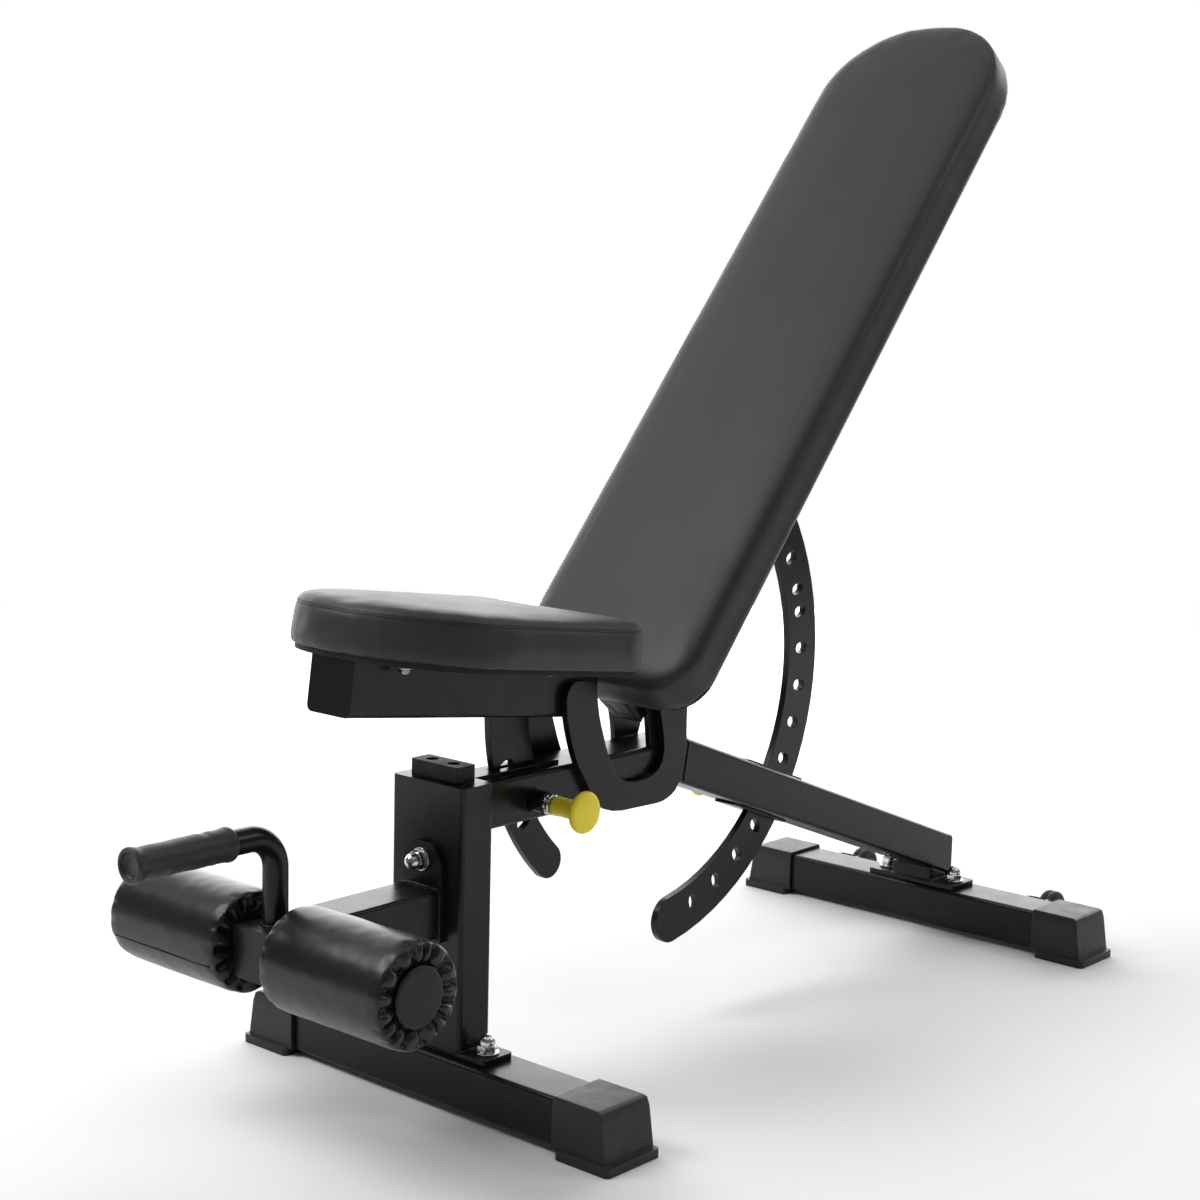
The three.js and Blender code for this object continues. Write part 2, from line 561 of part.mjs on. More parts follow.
// U-shaped links: they carry the seat from the pivot, passing round the lower end of the backrest.
const link = new THREE.Shape();
link.moveTo(337, 352);
link.lineTo(337.5, 330);
link.quadraticCurveTo(337, 290, 321, 274);
link.quadraticCurveTo(309, 264.5, 290, 264);
link.lineTo(230, 265.5);
link.quadraticCurveTo(196, 268, 184, 287);
link.quadraticCurveTo(171, 308, 158, 327);
link.quadraticCurveTo(146, 352, 140, 381);
link.lineTo(139, 398);
link.quadraticCurveTo(141, 414, 155, 415);
link.lineTo(172, 413);
link.quadraticCurveTo(186, 411, 186.5, 397);
link.quadraticCurveTo(189, 374, 198, 352);
link.quadraticCurveTo(205, 330, 215, 313);
link.quadraticCurveTo(226, 295.5, 250, 294);
link.lineTo(268, 294);
link.quadraticCurveTo(298, 296, 299.5, 322);
link.quadraticCurveTo(298.5, 342, 292, 362);
link.lineTo(PIVOT_Y - 24, PIVOT_Z - 6);
link.absarc(PIVOT_Y, PIVOT_Z, 24.5, radians(194), radians(-14), true);
link.closePath();
for (const [side, sign] of [["left", -1], ["right", 1]]) {
  const x0 = sign > 0 ? LINK_INNER : -LINK_OUTER;
  const x1 = sign > 0 ? LINK_OUTER : -LINK_INNER;
  add(`seat_link_${side}`, cut(slabAcross(link, x0, x1, 4), pivotBore(x0 - 1, x1 + 1)), POWDER_COAT);
}

// ---------------------------------------------------------------- backrest
// Backrest pieces are drawn lying level, pivot at the origin, front face up, then tipped and moved.
function placeOnBack(geometry) {
  return geometry.rotateX(radians(BACK_ANGLE)).translate(0, PIVOT_Y, PIVOT_Z);
}
const BACK_LOW = -53;
const BACK_HIGH = 916;
const BACK_PAD_BOTTOM = 38.6;
const BACK_PAD_TOP = 92;
const backOutline = (inset) => padOutline(inset, BACK_LOW, BACK_HIGH, BACK_LOW_R, PAD_NOSE_R);
add("back_pad", placeOnBack(padSolid(
  backOutline, padLevels(BACK_PAD_BOTTOM, BACK_PAD_TOP), BOARD_INSET - GAP)), VINYL);
add("back_board", placeOnBack(slabUp(
  backOutline(BOARD_INSET), BACK_PAD_BOTTOM, BACK_PAD_BOTTOM + BOARD)), PLYWOOD);

const SPINE_HALF = 20;
const SPINE_BOTTOM = -1.7;
const SPINE_TOP = BACK_PAD_BOTTOM - GAP;
const SPINE_LOW = -46;
const SPINE_HIGH = 690;
const BUSH_HALF = CHEEK_INNER - GAP;
const spineTube = slabAlong(
  hollowRect(SPINE_BOTTOM, SPINE_TOP, -SPINE_HALF, SPINE_HALF, TUBE_CORNER, TUBE_WALL),
  SPINE_LOW, SPINE_HIGH, 2);
const BUSH_R = 14;
const spineBush = turnedAlongX(rod(BUSH_R, -BUSH_HALF, BUSH_HALF), 0, 0, FINE);
const bushBore = turnedAlongX(rod(PIVOT_R + RUNNING, -BUSH_HALF - 5, BUSH_HALF + 5), 0, 0, FINE);
add("back_spine", placeOnBack(cut(join(spineTube, spineBush), bushBore)), POWDER_COAT);

// The long curved locking plate below the backrest. Slots stand at equal steps, with two nearer
// ones at the top for the level and the declined position.
const LADDER_TOP = 49;
const LADDER_END = -80;
const ladder = new THREE.Shape();
const ladderOuter = LADDER_R + LADDER_HALF;
const ladderInner = LADDER_R - LADDER_HALF;
ladder.absarc(PIVOT_Y, PIVOT_Z, ladderOuter, radians(LADDER_END), radians(LADDER_TOP), false);
ladder.absarc(PIVOT_Y, PIVOT_Z, ladderInner, radians(LADDER_TOP), radians(LADDER_END), true);
const [endY, endZ] = aroundPivot(LADDER_R, LADDER_END);
ladder.absarc(endY, endZ, LADDER_HALF, radians(LADDER_END + 180), radians(LADDER_END + 360), false);
ladder.closePath();
const LEVEL_SLOT = BACK_LOCK + BACK_ANGLE + 1.6;
const DECLINE_SLOT = LEVEL_SLOT + 8.4;
const ladderAngles = [LEVEL_SLOT, DECLINE_SLOT];
for (let step = -4; step <= 5; step += 1) {
  ladderAngles.push(BACK_LOCK + step * BACK_STEP);
}
const ladderSlots = ladderAngles.map((angle) => lockSlot(BACK_LOCK_R, angle, 21, SLOT_WIDTH));
let ladderPlate = cut(slabAcross(ladder, -SLOT_HALF_PLATE, SLOT_HALF_PLATE, 14), ...ladderSlots);
const backTurn = radians(BACK_ANGLE);
const underSpine = SPINE_BOTTOM - GAP;
ladderPlate = keepSide(
  ladderPlate,
  PIVOT_Y - underSpine * Math.sin(backTurn), PIVOT_Z + underSpine * Math.cos(backTurn),
  Math.sin(backTurn), -Math.cos(backTurn));
add("back_ladder_plate", ladderPlate, POWDER_COAT);

// ---------------------------------------------------------------- pull pins
// Each has a welded boss, a threaded sleeve, a sprung plunger and a knob. Drawn along +X, then turned
// to the other side where needed. Distances are from the bench's mid-plane.
const BOSS_START = HALF_TUBE + GAP;
const BOSS_END = 52;
const SLEEVE_END = 61;
const KNOB_START = 64;
const KNOB_END = 108;
const SPRING_START = 36;
const SPRING_END = 50;
const SPRING_R = 7.6;
const PLUNGER_TIP = SLOT_HALF_PLATE + 0.4;
function springCoil() {
  const turns = 3;
  class Coil extends THREE.Curve {
    getPoint(t, target = new THREE.Vector3()) {
      const turn = t * turns * 2 * Math.PI;
      const along = SPRING_START + 1 + t * (SPRING_END - SPRING_START - 2);
      return target.set(along, SPRING_R * Math.cos(turn), SPRING_R * Math.sin(turn));
    }
  }
  const wire = new THREE.Shape();
  wire.absarc(0, 0, 0.7, 0, 2 * Math.PI, false);
  return new THREE.ExtrudeGeometry(wire, {
    steps: turns * 10, curveSegments: 2, extrudePath: new Coil(), bevelEnabled: false });
}

function pullPin(prefix, sign, y, z) {
  const place = (geometry) => facing(geometry, sign).translate(0, y, z);
  const boss = turnedAlongX([
    [9.4, BOSS_START], [12, BOSS_START], [12, BOSS_END], [9.4, BOSS_END], [9.4, BOSS_START]], 0, 0, ROUND);
  const sleeve = turnedAlongX([
    [PIN_R + RUNNING, SPRING_END + 0.6], [9.1, SPRING_END + 0.6], [9.1, BOSS_END + GAP],
    [11, BOSS_END + GAP],
    [11, SLEEVE_END], [PIN_R + RUNNING, SLEEVE_END], [PIN_R + RUNNING, SPRING_END + 0.6]], 0, 0, ROUND);
  const plunger = turnedAlongX([
    [0, PLUNGER_TIP], [3.6, PLUNGER_TIP], [PIN_R, PLUNGER_TIP + 3], [PIN_R, SPRING_START - 2.8],
    [8.6, SPRING_START - 2.8], [8.6, SPRING_START - 0.3], [PIN_R, SPRING_START - 0.3],
    [PIN_R, KNOB_START + 12], [0, KNOB_START + 12]], 0, 0, ROUND);
  const knob = turnedAlongX([
    [PIN_R + 0.1, KNOB_START], [10, KNOB_START], [10.4, KNOB_END - 16], [13, KNOB_END - 11],
    [20, KNOB_END - 8], [21.8, KNOB_END - 5], [20, KNOB_END - 2], [9, KNOB_END], [0, KNOB_END],
    [0, KNOB_START + 12.3], [PIN_R + 0.1, KNOB_START + 12.3], [PIN_R + 0.1, KNOB_START]], 0, 0, ROUND);
  add(`${prefix}_pin_boss`, place(boss), POWDER_COAT);
  add(`${prefix}_pin_sleeve`, place(sleeve), ZINC);
  add(`${prefix}_pin_plunger`, place(plunger), ZINC);
  add(`${prefix}_pin_knob`, place(knob), YELLOW_PLASTIC);
  add(`${prefix}_pin_spring`, place(springCoil()), SPRING_STEEL);
}
pullPin("seat", 1, seatPinY, seatPinZ);
pullPin("back", -1, backPinY, backPinZ);

// ---------------------------------------------------------------- leg hold-down
const ARM_PLATE_REAR = -HALF_DEPTH - GAP;
const ARM_PLATE_FRONT = ARM_PLATE_REAR - PLATE;
const HALF_ARM = ARM_WIDTH / 2;
const ARM_BOTTOM = ARM_TOP - ARM_HEIGHT;
const ARM_PLATE_ROUND = 22;
const armOutline = new THREE.Shape();
armOutline.moveTo(ARM_BOTTOM - 4, -HALF_ARM - 1);
armOutline.lineTo(ARM_BOTTOM - 4, HALF_ARM + 1);
armOutline.absarc(ARM_BOLT_Z - 4, HALF_ARM + 1 - ARM_PLATE_ROUND, ARM_PLATE_ROUND, Math.PI / 2, 0, true);
armOutline.absarc(ARM_BOLT_Z - 4, -HALF_ARM - 1 + ARM_PLATE_ROUND, ARM_PLATE_ROUND, 0, -Math.PI / 2, true);
armOutline.closePath();
const armTube = cut(
  slabAlong(roundedRect(ARM_BOTTOM, ARM_TOP, -HALF_ARM, HALF_ARM, 4), ARM_END_Y, ARM_PLATE_FRONT + 1, 2),
  slabAlong(
    roundedRect(ARM_BOTTOM + 2.5, ARM_TOP - 2.5, -HALF_ARM + 2.5, HALF_ARM - 2.5, 2),
    ARM_END_Y + 3, ARM_PLATE_FRONT - 12, 2));
add("leg_arm", cut(
  join(slabAlong(armOutline, ARM_PLATE_FRONT, ARM_PLATE_REAR, 8), armTube),
  turnedAlongX(rod(PIPE_R + GAP, -HALF_ARM - 5, HALF_ARM + 5), ROLLER_Y, ROLLER_Z, ROUND),
  turnedAlongY(rod(BOLT_HOLE_R, ARM_PLATE_FRONT - 3, ARM_PLATE_REAR + 3), 0, ARM_BOLT_Z)), POWDER_COAT);
add("leg_arm_bolt",
  capNutBolt(0, 0, 0).rotateX(Math.PI / 2).translate(0, ARM_PLATE_FRONT, ARM_BOLT_Z), ZINC);

const BAR_END = 187;
add("roller_bar", turnedAlongX([
  [PIPE_R - 2.5, -BAR_END], [PIPE_R, -BAR_END], [PIPE_R, BAR_END], [PIPE_R - 2.5, BAR_END],
  [PIPE_R - 2.5, -BAR_END]], ROLLER_Y, ROLLER_Z, PIPE_FACETS), POWDER_COAT);

const ROLLER_INNER = 31;
const ROLLER_OUTER = 196;
const CORE_R = 17;
for (const [side, sign] of [["left", -1], ["right", 1]]) {
  const place = (geometry) => facing(geometry, sign).translate(0, ROLLER_Y, ROLLER_Z);
  const pad = turnedAlongX([
    [CORE_R + GAP, ROLLER_INNER], [42, ROLLER_INNER + 2], [ROLLER_R, ROLLER_INNER + 14],
    [ROLLER_R, ROLLER_OUTER - 18], [42, ROLLER_OUTER - 6], [CORE_R + GAP, ROLLER_OUTER - 4],
    [CORE_R + GAP, ROLLER_INNER]], 0, 0, FINE);
  const core = turnedAlongX([
    [PIPE_R + RUNNING, ROLLER_INNER], [CORE_R, ROLLER_INNER], [CORE_R, ROLLER_OUTER - 7],
    [PIPE_R + RUNNING, ROLLER_OUTER - 7], [PIPE_R + RUNNING, ROLLER_INNER]], 0, 0, PIPE_FACETS);
  const cap = turnedAlongX([
    [0, ROLLER_OUTER - 6.7], [CORE_R, ROLLER_OUTER - 6.7], [CORE_R, ROLLER_OUTER - 3.6],
    [28, ROLLER_OUTER - 3.6], [27, ROLLER_OUTER - 0.6], [0, ROLLER_OUTER]], 0, 0, FINE);
  add(`roller_pad_${side}`, place(pad), ROLLER_VINYL);
  add(`roller_core_${side}`, place(core), CAP_PLASTIC);
  add(`roller_cap_${side}`, place(cap), CAP_PLASTIC);
}

// The handle: a pipe that rises from the arm and bends forward into a gripped, level end.
const HANDLE_Y = -216;
const HANDLE_Z = 312;
const HANDLE_BEND = 32;
const HANDLE_END = -368;
class HandlePath extends THREE.CurvePath {
  constructor() {
    super();
    const low = new THREE.Vector3(0, HANDLE_Y, ARM_TOP + GAP);
    const bendStart = new THREE.Vector3(0, HANDLE_Y, HANDLE_Z - HANDLE_BEND);
    const bendEnd = new THREE.Vector3(0, HANDLE_Y - HANDLE_BEND, HANDLE_Z);
    this.add(new THREE.LineCurve3(low, bendStart));
    this.add(new THREE.CubicBezierCurve3(
      bendStart,
      new THREE.Vector3(0, HANDLE_Y, HANDLE_Z - HANDLE_BEND * 0.45),
      new THREE.Vector3(0, HANDLE_Y - HANDLE_BEND * 0.45, HANDLE_Z),
      bendEnd));
    this.add(new THREE.LineCurve3(bendEnd, new THREE.Vector3(0, HANDLE_END, HANDLE_Z)));
  }
}
const pipeSection = new THREE.Shape();
pipeSection.absarc(0, 0, PIPE_R - 0.3, 0, 2 * Math.PI, false);
add("handle_bar", new THREE.ExtrudeGeometry(pipeSection, {
  steps: 20, curveSegments: 6, extrudePath: new HandlePath(), bevelEnabled: false }), POWDER_COAT);
const GRIP_START = -270;
const GRIP_END = -382;
const GRIP_R = 15.3;
const GRIP_FLARE_R = 17;
add("handle_grip", turnedAlongY([
  [0, GRIP_END], [14, GRIP_END], [GRIP_FLARE_R, GRIP_END + 2], [GRIP_FLARE_R, GRIP_END + 6],
  [GRIP_R, GRIP_END + 11],
  [GRIP_R, GRIP_START - 8], [GRIP_R + 1, GRIP_START - 3], [GRIP_R, GRIP_START], [PIPE_R, GRIP_START],
  [PIPE_R, HANDLE_END - 2], [0, HANDLE_END - 2]], 0, HANDLE_Z, ROUND), GRIP_RUBBER);

// ---------------------------------------------------------------- transport wheels
const WHEEL_X = 148;
const WHEEL_Y = 974;
const WHEEL_Z = 28;
const WHEEL_R = 24;
const AXLE_R = 5;
const FORK_INNER = 12;
const FORK_WALL = 4;
const FORK_LOW = 12;
const FORK_HIGH = 50;
const FORK_ROOT = FOOT_SPACING + HALF_TUBE + GAP;
for (const [side, sign] of [["left", -1], ["right", 1]]) {
  const x = sign * WHEEL_X;
  const wheel = turnedAlongX([
    [AXLE_R + RUNNING, -10], [WHEEL_R - 4, -10], [WHEEL_R, -6], [WHEEL_R, 6],
    [WHEEL_R - 4, 10], [AXLE_R + RUNNING, 10], [AXLE_R + RUNNING, -10]],
  WHEEL_Y, WHEEL_Z, FINE).translate(x, 0, 0);
  const arm = slabAcross(polygon([
    [FORK_ROOT, FORK_LOW], [FORK_ROOT, FORK_HIGH], [FORK_ROOT + 20, FORK_HIGH],
    [WHEEL_Y + 6, WHEEL_Z + 10], [WHEEL_Y + 11, WHEEL_Z + 2], [WHEEL_Y + 8, WHEEL_Z - 8],
    [WHEEL_Y - 6, WHEEL_Z - 12]]), FORK_INNER, FORK_INNER + FORK_WALL);
  const otherArm = arm.clone().translate(-2 * FORK_INNER - FORK_WALL, 0, 0);
  const web = box(
    -FORK_INNER - 1, FORK_INNER + 1, FORK_ROOT, FORK_ROOT + FORK_WALL, FORK_LOW, FORK_HIGH);
  const axle = turnedAlongX(rod(AXLE_R, -FORK_INNER - 8, FORK_INNER + 8), WHEEL_Y, WHEEL_Z, FINE);
  add(`wheel_bracket_${side}`, join(arm, otherArm, web, axle).translate(x, 0, 0), POWDER_COAT);
  add(`transport_wheel_${side}`, wheel, WHEEL_RUBBER);
}

for (const mesh of bench.children) {
  mesh.geometry.translate(0, -CENTRE_Y, 0);
}

export default bench;
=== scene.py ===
"""The looks of an adjustable weight bench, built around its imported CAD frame. Metres, +Z up."""
import json
import math

import bmesh
import bpy
from mathutils import Matrix, Vector, noise
from mathutils.bvhtree import BVHTree


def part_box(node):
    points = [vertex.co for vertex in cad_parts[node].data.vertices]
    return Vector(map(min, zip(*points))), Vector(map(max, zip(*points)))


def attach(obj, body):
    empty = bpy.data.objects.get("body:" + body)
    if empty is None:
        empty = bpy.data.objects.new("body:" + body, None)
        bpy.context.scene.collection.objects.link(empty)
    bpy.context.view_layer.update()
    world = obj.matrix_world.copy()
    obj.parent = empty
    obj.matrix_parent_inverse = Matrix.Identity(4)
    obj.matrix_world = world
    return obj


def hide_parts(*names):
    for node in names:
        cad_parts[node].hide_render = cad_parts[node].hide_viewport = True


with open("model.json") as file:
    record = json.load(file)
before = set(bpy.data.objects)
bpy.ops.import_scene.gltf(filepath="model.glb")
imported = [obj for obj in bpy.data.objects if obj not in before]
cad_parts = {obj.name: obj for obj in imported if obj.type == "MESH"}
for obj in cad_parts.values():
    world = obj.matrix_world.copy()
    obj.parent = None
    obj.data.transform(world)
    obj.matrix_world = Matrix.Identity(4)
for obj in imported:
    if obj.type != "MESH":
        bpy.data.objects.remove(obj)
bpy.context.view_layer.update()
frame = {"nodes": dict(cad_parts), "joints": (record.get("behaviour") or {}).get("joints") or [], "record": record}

MM = 0.001
FIRST_COLOUR = 6                     # sockets of a colour mix node
SECOND_COLOUR = 7
MIXED_COLOUR = 2
BACK_ANGLE = math.radians(50.2)      # backrest above level at rest
SEAT_TILT = math.radians(7.4)        # seat nose above level at rest
BEAM_SLOPE = math.radians(20.5)      # rear part of the main beam below level
PAD_HALF_WIDTH = 125 * MM
SEAT_CORNERS = (112 * MM, 18 * MM)   # corner radius at the seat's front and rear
BACK_CORNERS = (48 * MM, 112 * MM)   # corner radius at the backrest's lower and upper end
PAD_VOXEL = 5 * MM                   # spacing of the points in the simulated foam
PAD_SWELL = 1.8 * MM                 # how far the simulated foam may move
PINNED_HEIGHT = 13.5 * MM            # below this height a cover is held to its board
CLOTH_STEPS = 20
MERGE_GAP = 0.002 * MM               # points of a CAD mesh this close are one point
SHARP_ANGLE = math.radians(32)       # a CAD edge that turns more than this stays sharp

JOINTS = {joint["name"]: joint for joint in frame["joints"]}
PIVOT = Vector(JOINTS["backrest_angle"]["pos_m"])
BACK = Matrix.Translation(PIVOT) @ Matrix.Rotation(BACK_ANGLE, 4, "X")
SEAT = Matrix.Translation(PIVOT) @ Matrix.Rotation(-SEAT_TILT, 4, "X")
SIDES = (("left", -1), ("right", 1))
PINS = (("seat", 1), ("back", -1))   # each pull pin, and the side its knob is on


# ---------------------------------------------------------------- materials
class Finish:
    """A principled material with short calls for the procedural nodes that feed it."""

    def __init__(self, name, **constants):
        self.material = bpy.data.materials.new(name)
        self.material.use_nodes = True
        self.tree = self.material.node_tree
        self.shader = self.tree.nodes["Principled BSDF"]
        for socket, value in constants.items():
            self.shader.inputs[socket.replace("_", " ")].default_value = value
        self.place = self.add("ShaderNodeTexCoord").outputs["Object"]

    def add(self, kind, links=None, **settings):
        node = self.tree.nodes.new(kind)
        for key, value in settings.items():
            if key[0].isupper():
                node.inputs[key.replace("_", " ")].default_value = value
            else:
                setattr(node, key, value)
        for socket, source in (links or {}).items():
            self.tree.links.new(source, node.inputs[socket])
        return node

    def noise(self, scale, detail=3.0, roughness=0.5, stretch=None):
        place = self.place
        if stretch:
            place = self.add("ShaderNodeMapping", {"Vector": place}, Scale=stretch).outputs["Vector"]
        node = self.add(
            "ShaderNodeTexNoise", {"Vector": place}, Scale=scale, Detail=detail, Roughness=roughness)
        return node.outputs["Fac"]

    def cells(self, scale):
        node = self.add("ShaderNodeTexVoronoi", {"Vector": self.place}, feature="SMOOTH_F1", Scale=scale)
        return node.outputs["Distance"]

    def remap(self, source, low, high, to_low, to_high):
        node = self.add("ShaderNodeMapRange", {"Value": source})
        limits = {"From Min": low, "From Max": high, "To Min": to_low, "To Max": to_high}
        for socket, value in limits.items():
            node.inputs[socket].default_value = value
        return node.outputs["Result"]

    def maths(self, operation, first, second):
        node = self.add("ShaderNodeMath", operation=operation)
        for socket, value in zip(node.inputs, (first, second)):
            if isinstance(value, (int, float)):
                socket.default_value = value
            else:
                self.tree.links.new(value, socket)
        return node.outputs["Value"]

    def colours(self, factor, low, high):
        """A mix of two colours. low is a colour, or a socket that gives one."""
        node = self.add("ShaderNodeMix", {"Factor": factor}, data_type="RGBA")
        if isinstance(low, tuple):
            node.inputs[FIRST_COLOUR].default_value = (*low, 1)
        else:
            self.tree.links.new(low, node.inputs[FIRST_COLOUR])
        node.inputs[SECOND_COLOUR].default_value = (*high, 1)
        return node.outputs[MIXED_COLOUR]

    def feed(self, socket, source):
        self.tree.links.new(source, self.shader.inputs[socket])

    def bump(self, height, strength, distance, normal=None):
        links = {"Height": height}
        if normal:
            links["Normal"] = normal
        node = self.add("ShaderNodeBump", links, Strength=strength, Distance=distance)
        return node.outputs["Normal"]

    def colour(self, factor, low, high):
        self.feed("Base Color", self.colours(factor, low, high))

    def roughness(self, texture, low, high):
        """Roughness from low to high, over the middle of a noise's range."""
        self.feed("Roughness", self.remap(texture, 0.3, 0.7, low, high))

    def edges(self, radius):
        """A rounded normal at sharp edges, and how far it leans from the true one."""
        rounded = self.add("ShaderNodeBevel", samples=6, Radius=radius).outputs["Normal"]
        true = self.add("ShaderNodeNewGeometry").outputs["Normal"]
        dot = self.add("ShaderNodeVectorMath", {0: rounded, 1: true}, operation="DOT_PRODUCT")
        return rounded, self.remap(dot.outputs["Value"], 0.995, 0.8, 0.0, 1.0)


def powder_coat():
    coat = Finish("powder_coat_black", IOR=1.5, Specular_IOR_Level=0.24)
    rounded, edge = coat.edges(1.0 * MM)
    drift = coat.noise(14, 4)
    plain = coat.colours(drift, (0.0065, 0.0065, 0.0068), (0.0100, 0.0100, 0.0103))
    # Painted highlight: the sharp edges are mixed towards a lighter colour, where a rounded edge would catch the
    # light.
    painted_edge_highlight = coat.maths("MULTIPLY", edge, 0.6)
    coat.colour(painted_edge_highlight, plain, (0.032, 0.032, 0.033))
    smears = coat.noise(30, 5, 0.6)
    coat.roughness(smears, 0.24, 0.33)
    orange_peel = coat.noise(650, 2, 0.4)
    grains = coat.noise(2400, 1)
    height = coat.maths("ADD", orange_peel, coat.maths("MULTIPLY", grains, 0.35))
    coat.feed("Normal", coat.bump(height, 0.09, 0.2 * MM, rounded))
    return coat.material


def vinyl(name, low, high, rough, grain=0.32):
    cover = Finish(name, IOR=1.5, Specular_IOR_Level=0.36, Sheen_Weight=0.03, Sheen_Roughness=0.5)
    cover.colour(cover.noise(7, 4, 0.6), low, high)
    handled = cover.noise(11, 5, 0.65)
    cover.roughness(handled, rough - 0.04, rough + 0.05)
    pebbles = cover.cells(760)
    creases = cover.noise(420, 5, 0.6)
    height = cover.maths("ADD", pebbles, cover.maths("MULTIPLY", creases, 0.8))
    cover.feed("Normal", cover.bump(height, grain, 0.22 * MM))
    return cover.material


def moulded(name, low, high, rough, grain_scale, grain, edge_radius=2.0):
    plastic = Finish(name, IOR=1.48, Specular_IOR_Level=0.42)
    rounded, edge = plastic.edges(edge_radius * MM)
    body = plastic.colours(plastic.noise(22, 4), low, high)
    # Painted highlight: the sharp edges are mixed towards a lighter colour, where a rounded edge would catch the
    # light.
    painted_edge_highlight = plastic.maths("MULTIPLY", edge, 0.35)
    painted_highlight_colour = tuple(min(1.0, channel * 2.2 + 0.012) for channel in high)
    plastic.colour(painted_edge_highlight, body, painted_highlight_colour)
    plastic.roughness(plastic.noise(60, 4), rough - 0.06, rough + 0.06)
    plastic.feed("Normal", plastic.bump(plastic.noise(grain_scale, 3, 0.6), grain, 0.3 * MM, rounded))
    return plastic.material


def zinc_plate():
    metal = Finish("zinc_plate", Metallic=1.0)
    metal.colour(metal.noise(160, 4), (0.58, 0.60, 0.62), (0.76, 0.75, 0.71))
    metal.roughness(metal.noise(420, 4), 0.16, 0.34)
    metal.feed("Normal", metal.bump(metal.noise(900, 3), 0.12, 0.15 * MM))
    return metal.material


def spring_wire():
    wire = Finish("spring_wire", Metallic=1.0)
    wire.colour(wire.noise(300, 3), (0.30, 0.31, 0.33), (0.42, 0.43, 0.44))
    wire.roughness(wire.noise(700, 2), 0.3, 0.45)
    return wire.material


def yellow_plastic():
    plastic = Finish("yellow_knob_plastic", IOR=1.5, Specular_IOR_Level=0.45, Subsurface_Weight=0.05)
    plastic.colour(plastic.noise(45, 4), (0.92, 0.72, 0.02), (0.98, 0.82, 0.05))
    plastic.roughness(plastic.noise(120, 4), 0.34, 0.48)
    plastic.feed("Normal", plastic.bump(plastic.noise(1100, 2), 0.08, 0.2 * MM))
    return plastic.material


def backing_board():
    board = Finish("stained_plywood", IOR=1.45, Specular_IOR_Level=0.3)
    fibres = board.noise(60, 6, 0.7, stretch=(14, 1, 14))
    board.colour(fibres, (0.010, 0.009, 0.008), (0.030, 0.026, 0.022))
    board.roughness(fibres, 0.62, 0.8)
    board.feed("Normal", board.bump(fibres, 0.4, 0.3 * MM))
    return board.material


def thread():
    cotton = Finish("black_thread", Specular_IOR_Level=0.25)
    cotton.colour(cotton.noise(900, 3), (0.006, 0.006, 0.006), (0.018, 0.018, 0.018))
    cotton.roughness(cotton.noise(1500, 2), 0.6, 0.8)
    cotton.feed("Normal", cotton.bump(cotton.noise(2600, 2), 0.4, 0.1 * MM))
    return cotton.material


POWDER = powder_coat()
PAD_VINYL = vinyl("pad_vinyl_grey", (0.021, 0.021, 0.022), (0.030, 0.030, 0.0312), 0.47, 0.24)
ROLLER_VINYL = vinyl("roller_vinyl_black", (0.009, 0.009, 0.0095), (0.014, 0.014, 0.0145), 0.31, 0.16)
DISC_VINYL = vinyl("roller_disc_vinyl", (0.010, 0.010, 0.0105), (0.015, 0.015, 0.0155), 0.6, 0.4)
CAP_PLASTIC = moulded(
    "foot_cap_plastic", (0.013, 0.013, 0.0135), (0.020, 0.020, 0.021), 0.44, 1400, 0.3, 2.4)
BLACK_PLASTIC = moulded("black_plastic", (0.012, 0.012, 0.012), (0.018, 0.018, 0.018), 0.5, 1100, 0.25)
BLOCK_RUBBER = moulded("block_rubber", (0.008, 0.008, 0.008), (0.014, 0.014, 0.014), 0.62, 900, 0.35, 1.2)
GRIP_RUBBER = moulded("grip_rubber", (0.020, 0.020, 0.020), (0.034, 0.034, 0.034), 0.46, 520, 0.6, 0.6)
WHEEL_RUBBER = moulded("wheel_rubber", (0.011, 0.011, 0.011), (0.018, 0.018, 0.018), 0.6, 800, 0.35, 1.0)
ZINC = zinc_plate()
SPRING = spring_wire()
YELLOW = yellow_plastic()
PLYWOOD = backing_board()
THREAD = thread()

SLOT_FINISH = {
    "powder_coat": POWDER, "pad_vinyl": PAD_VINYL, "roller_vinyl": ROLLER_VINYL, "plywood": PLYWOOD,
    "cap_plastic": CAP_PLASTIC, "black_plastic": BLACK_PLASTIC, "block_rubber": BLOCK_RUBBER,
    "grip_rubber": GRIP_RUBBER, "wheel_rubber": WHEEL_RUBBER, "yellow_plastic": YELLOW,
    "zinc_steel": ZINC, "spring_steel": SPRING,
}
NODE_SLOT = {part["node"]: part["material_slot"] for part in frame["record"]["subparts"]}


def dress_frame():
    """Gives each CAD node its finish and clean shading."""
    for node, part in frame["nodes"].items():
        part.data.materials.clear()
        part.data.materials.append(SLOT_FINISH[NODE_SLOT[node]])
        weld = part.modifiers.new("merge", "WELD")
        weld.merge_threshold = MERGE_GAP
        for face in part.data.polygons:
            face.use_smooth = True
        split = part.modifiers.new("sharp edges", "EDGE_SPLIT")
        split.split_angle = SHARP_ANGLE
        flat = part.modifiers.new("flat faces stay flat", "WEIGHTED_NORMAL")
        flat.weight = 90


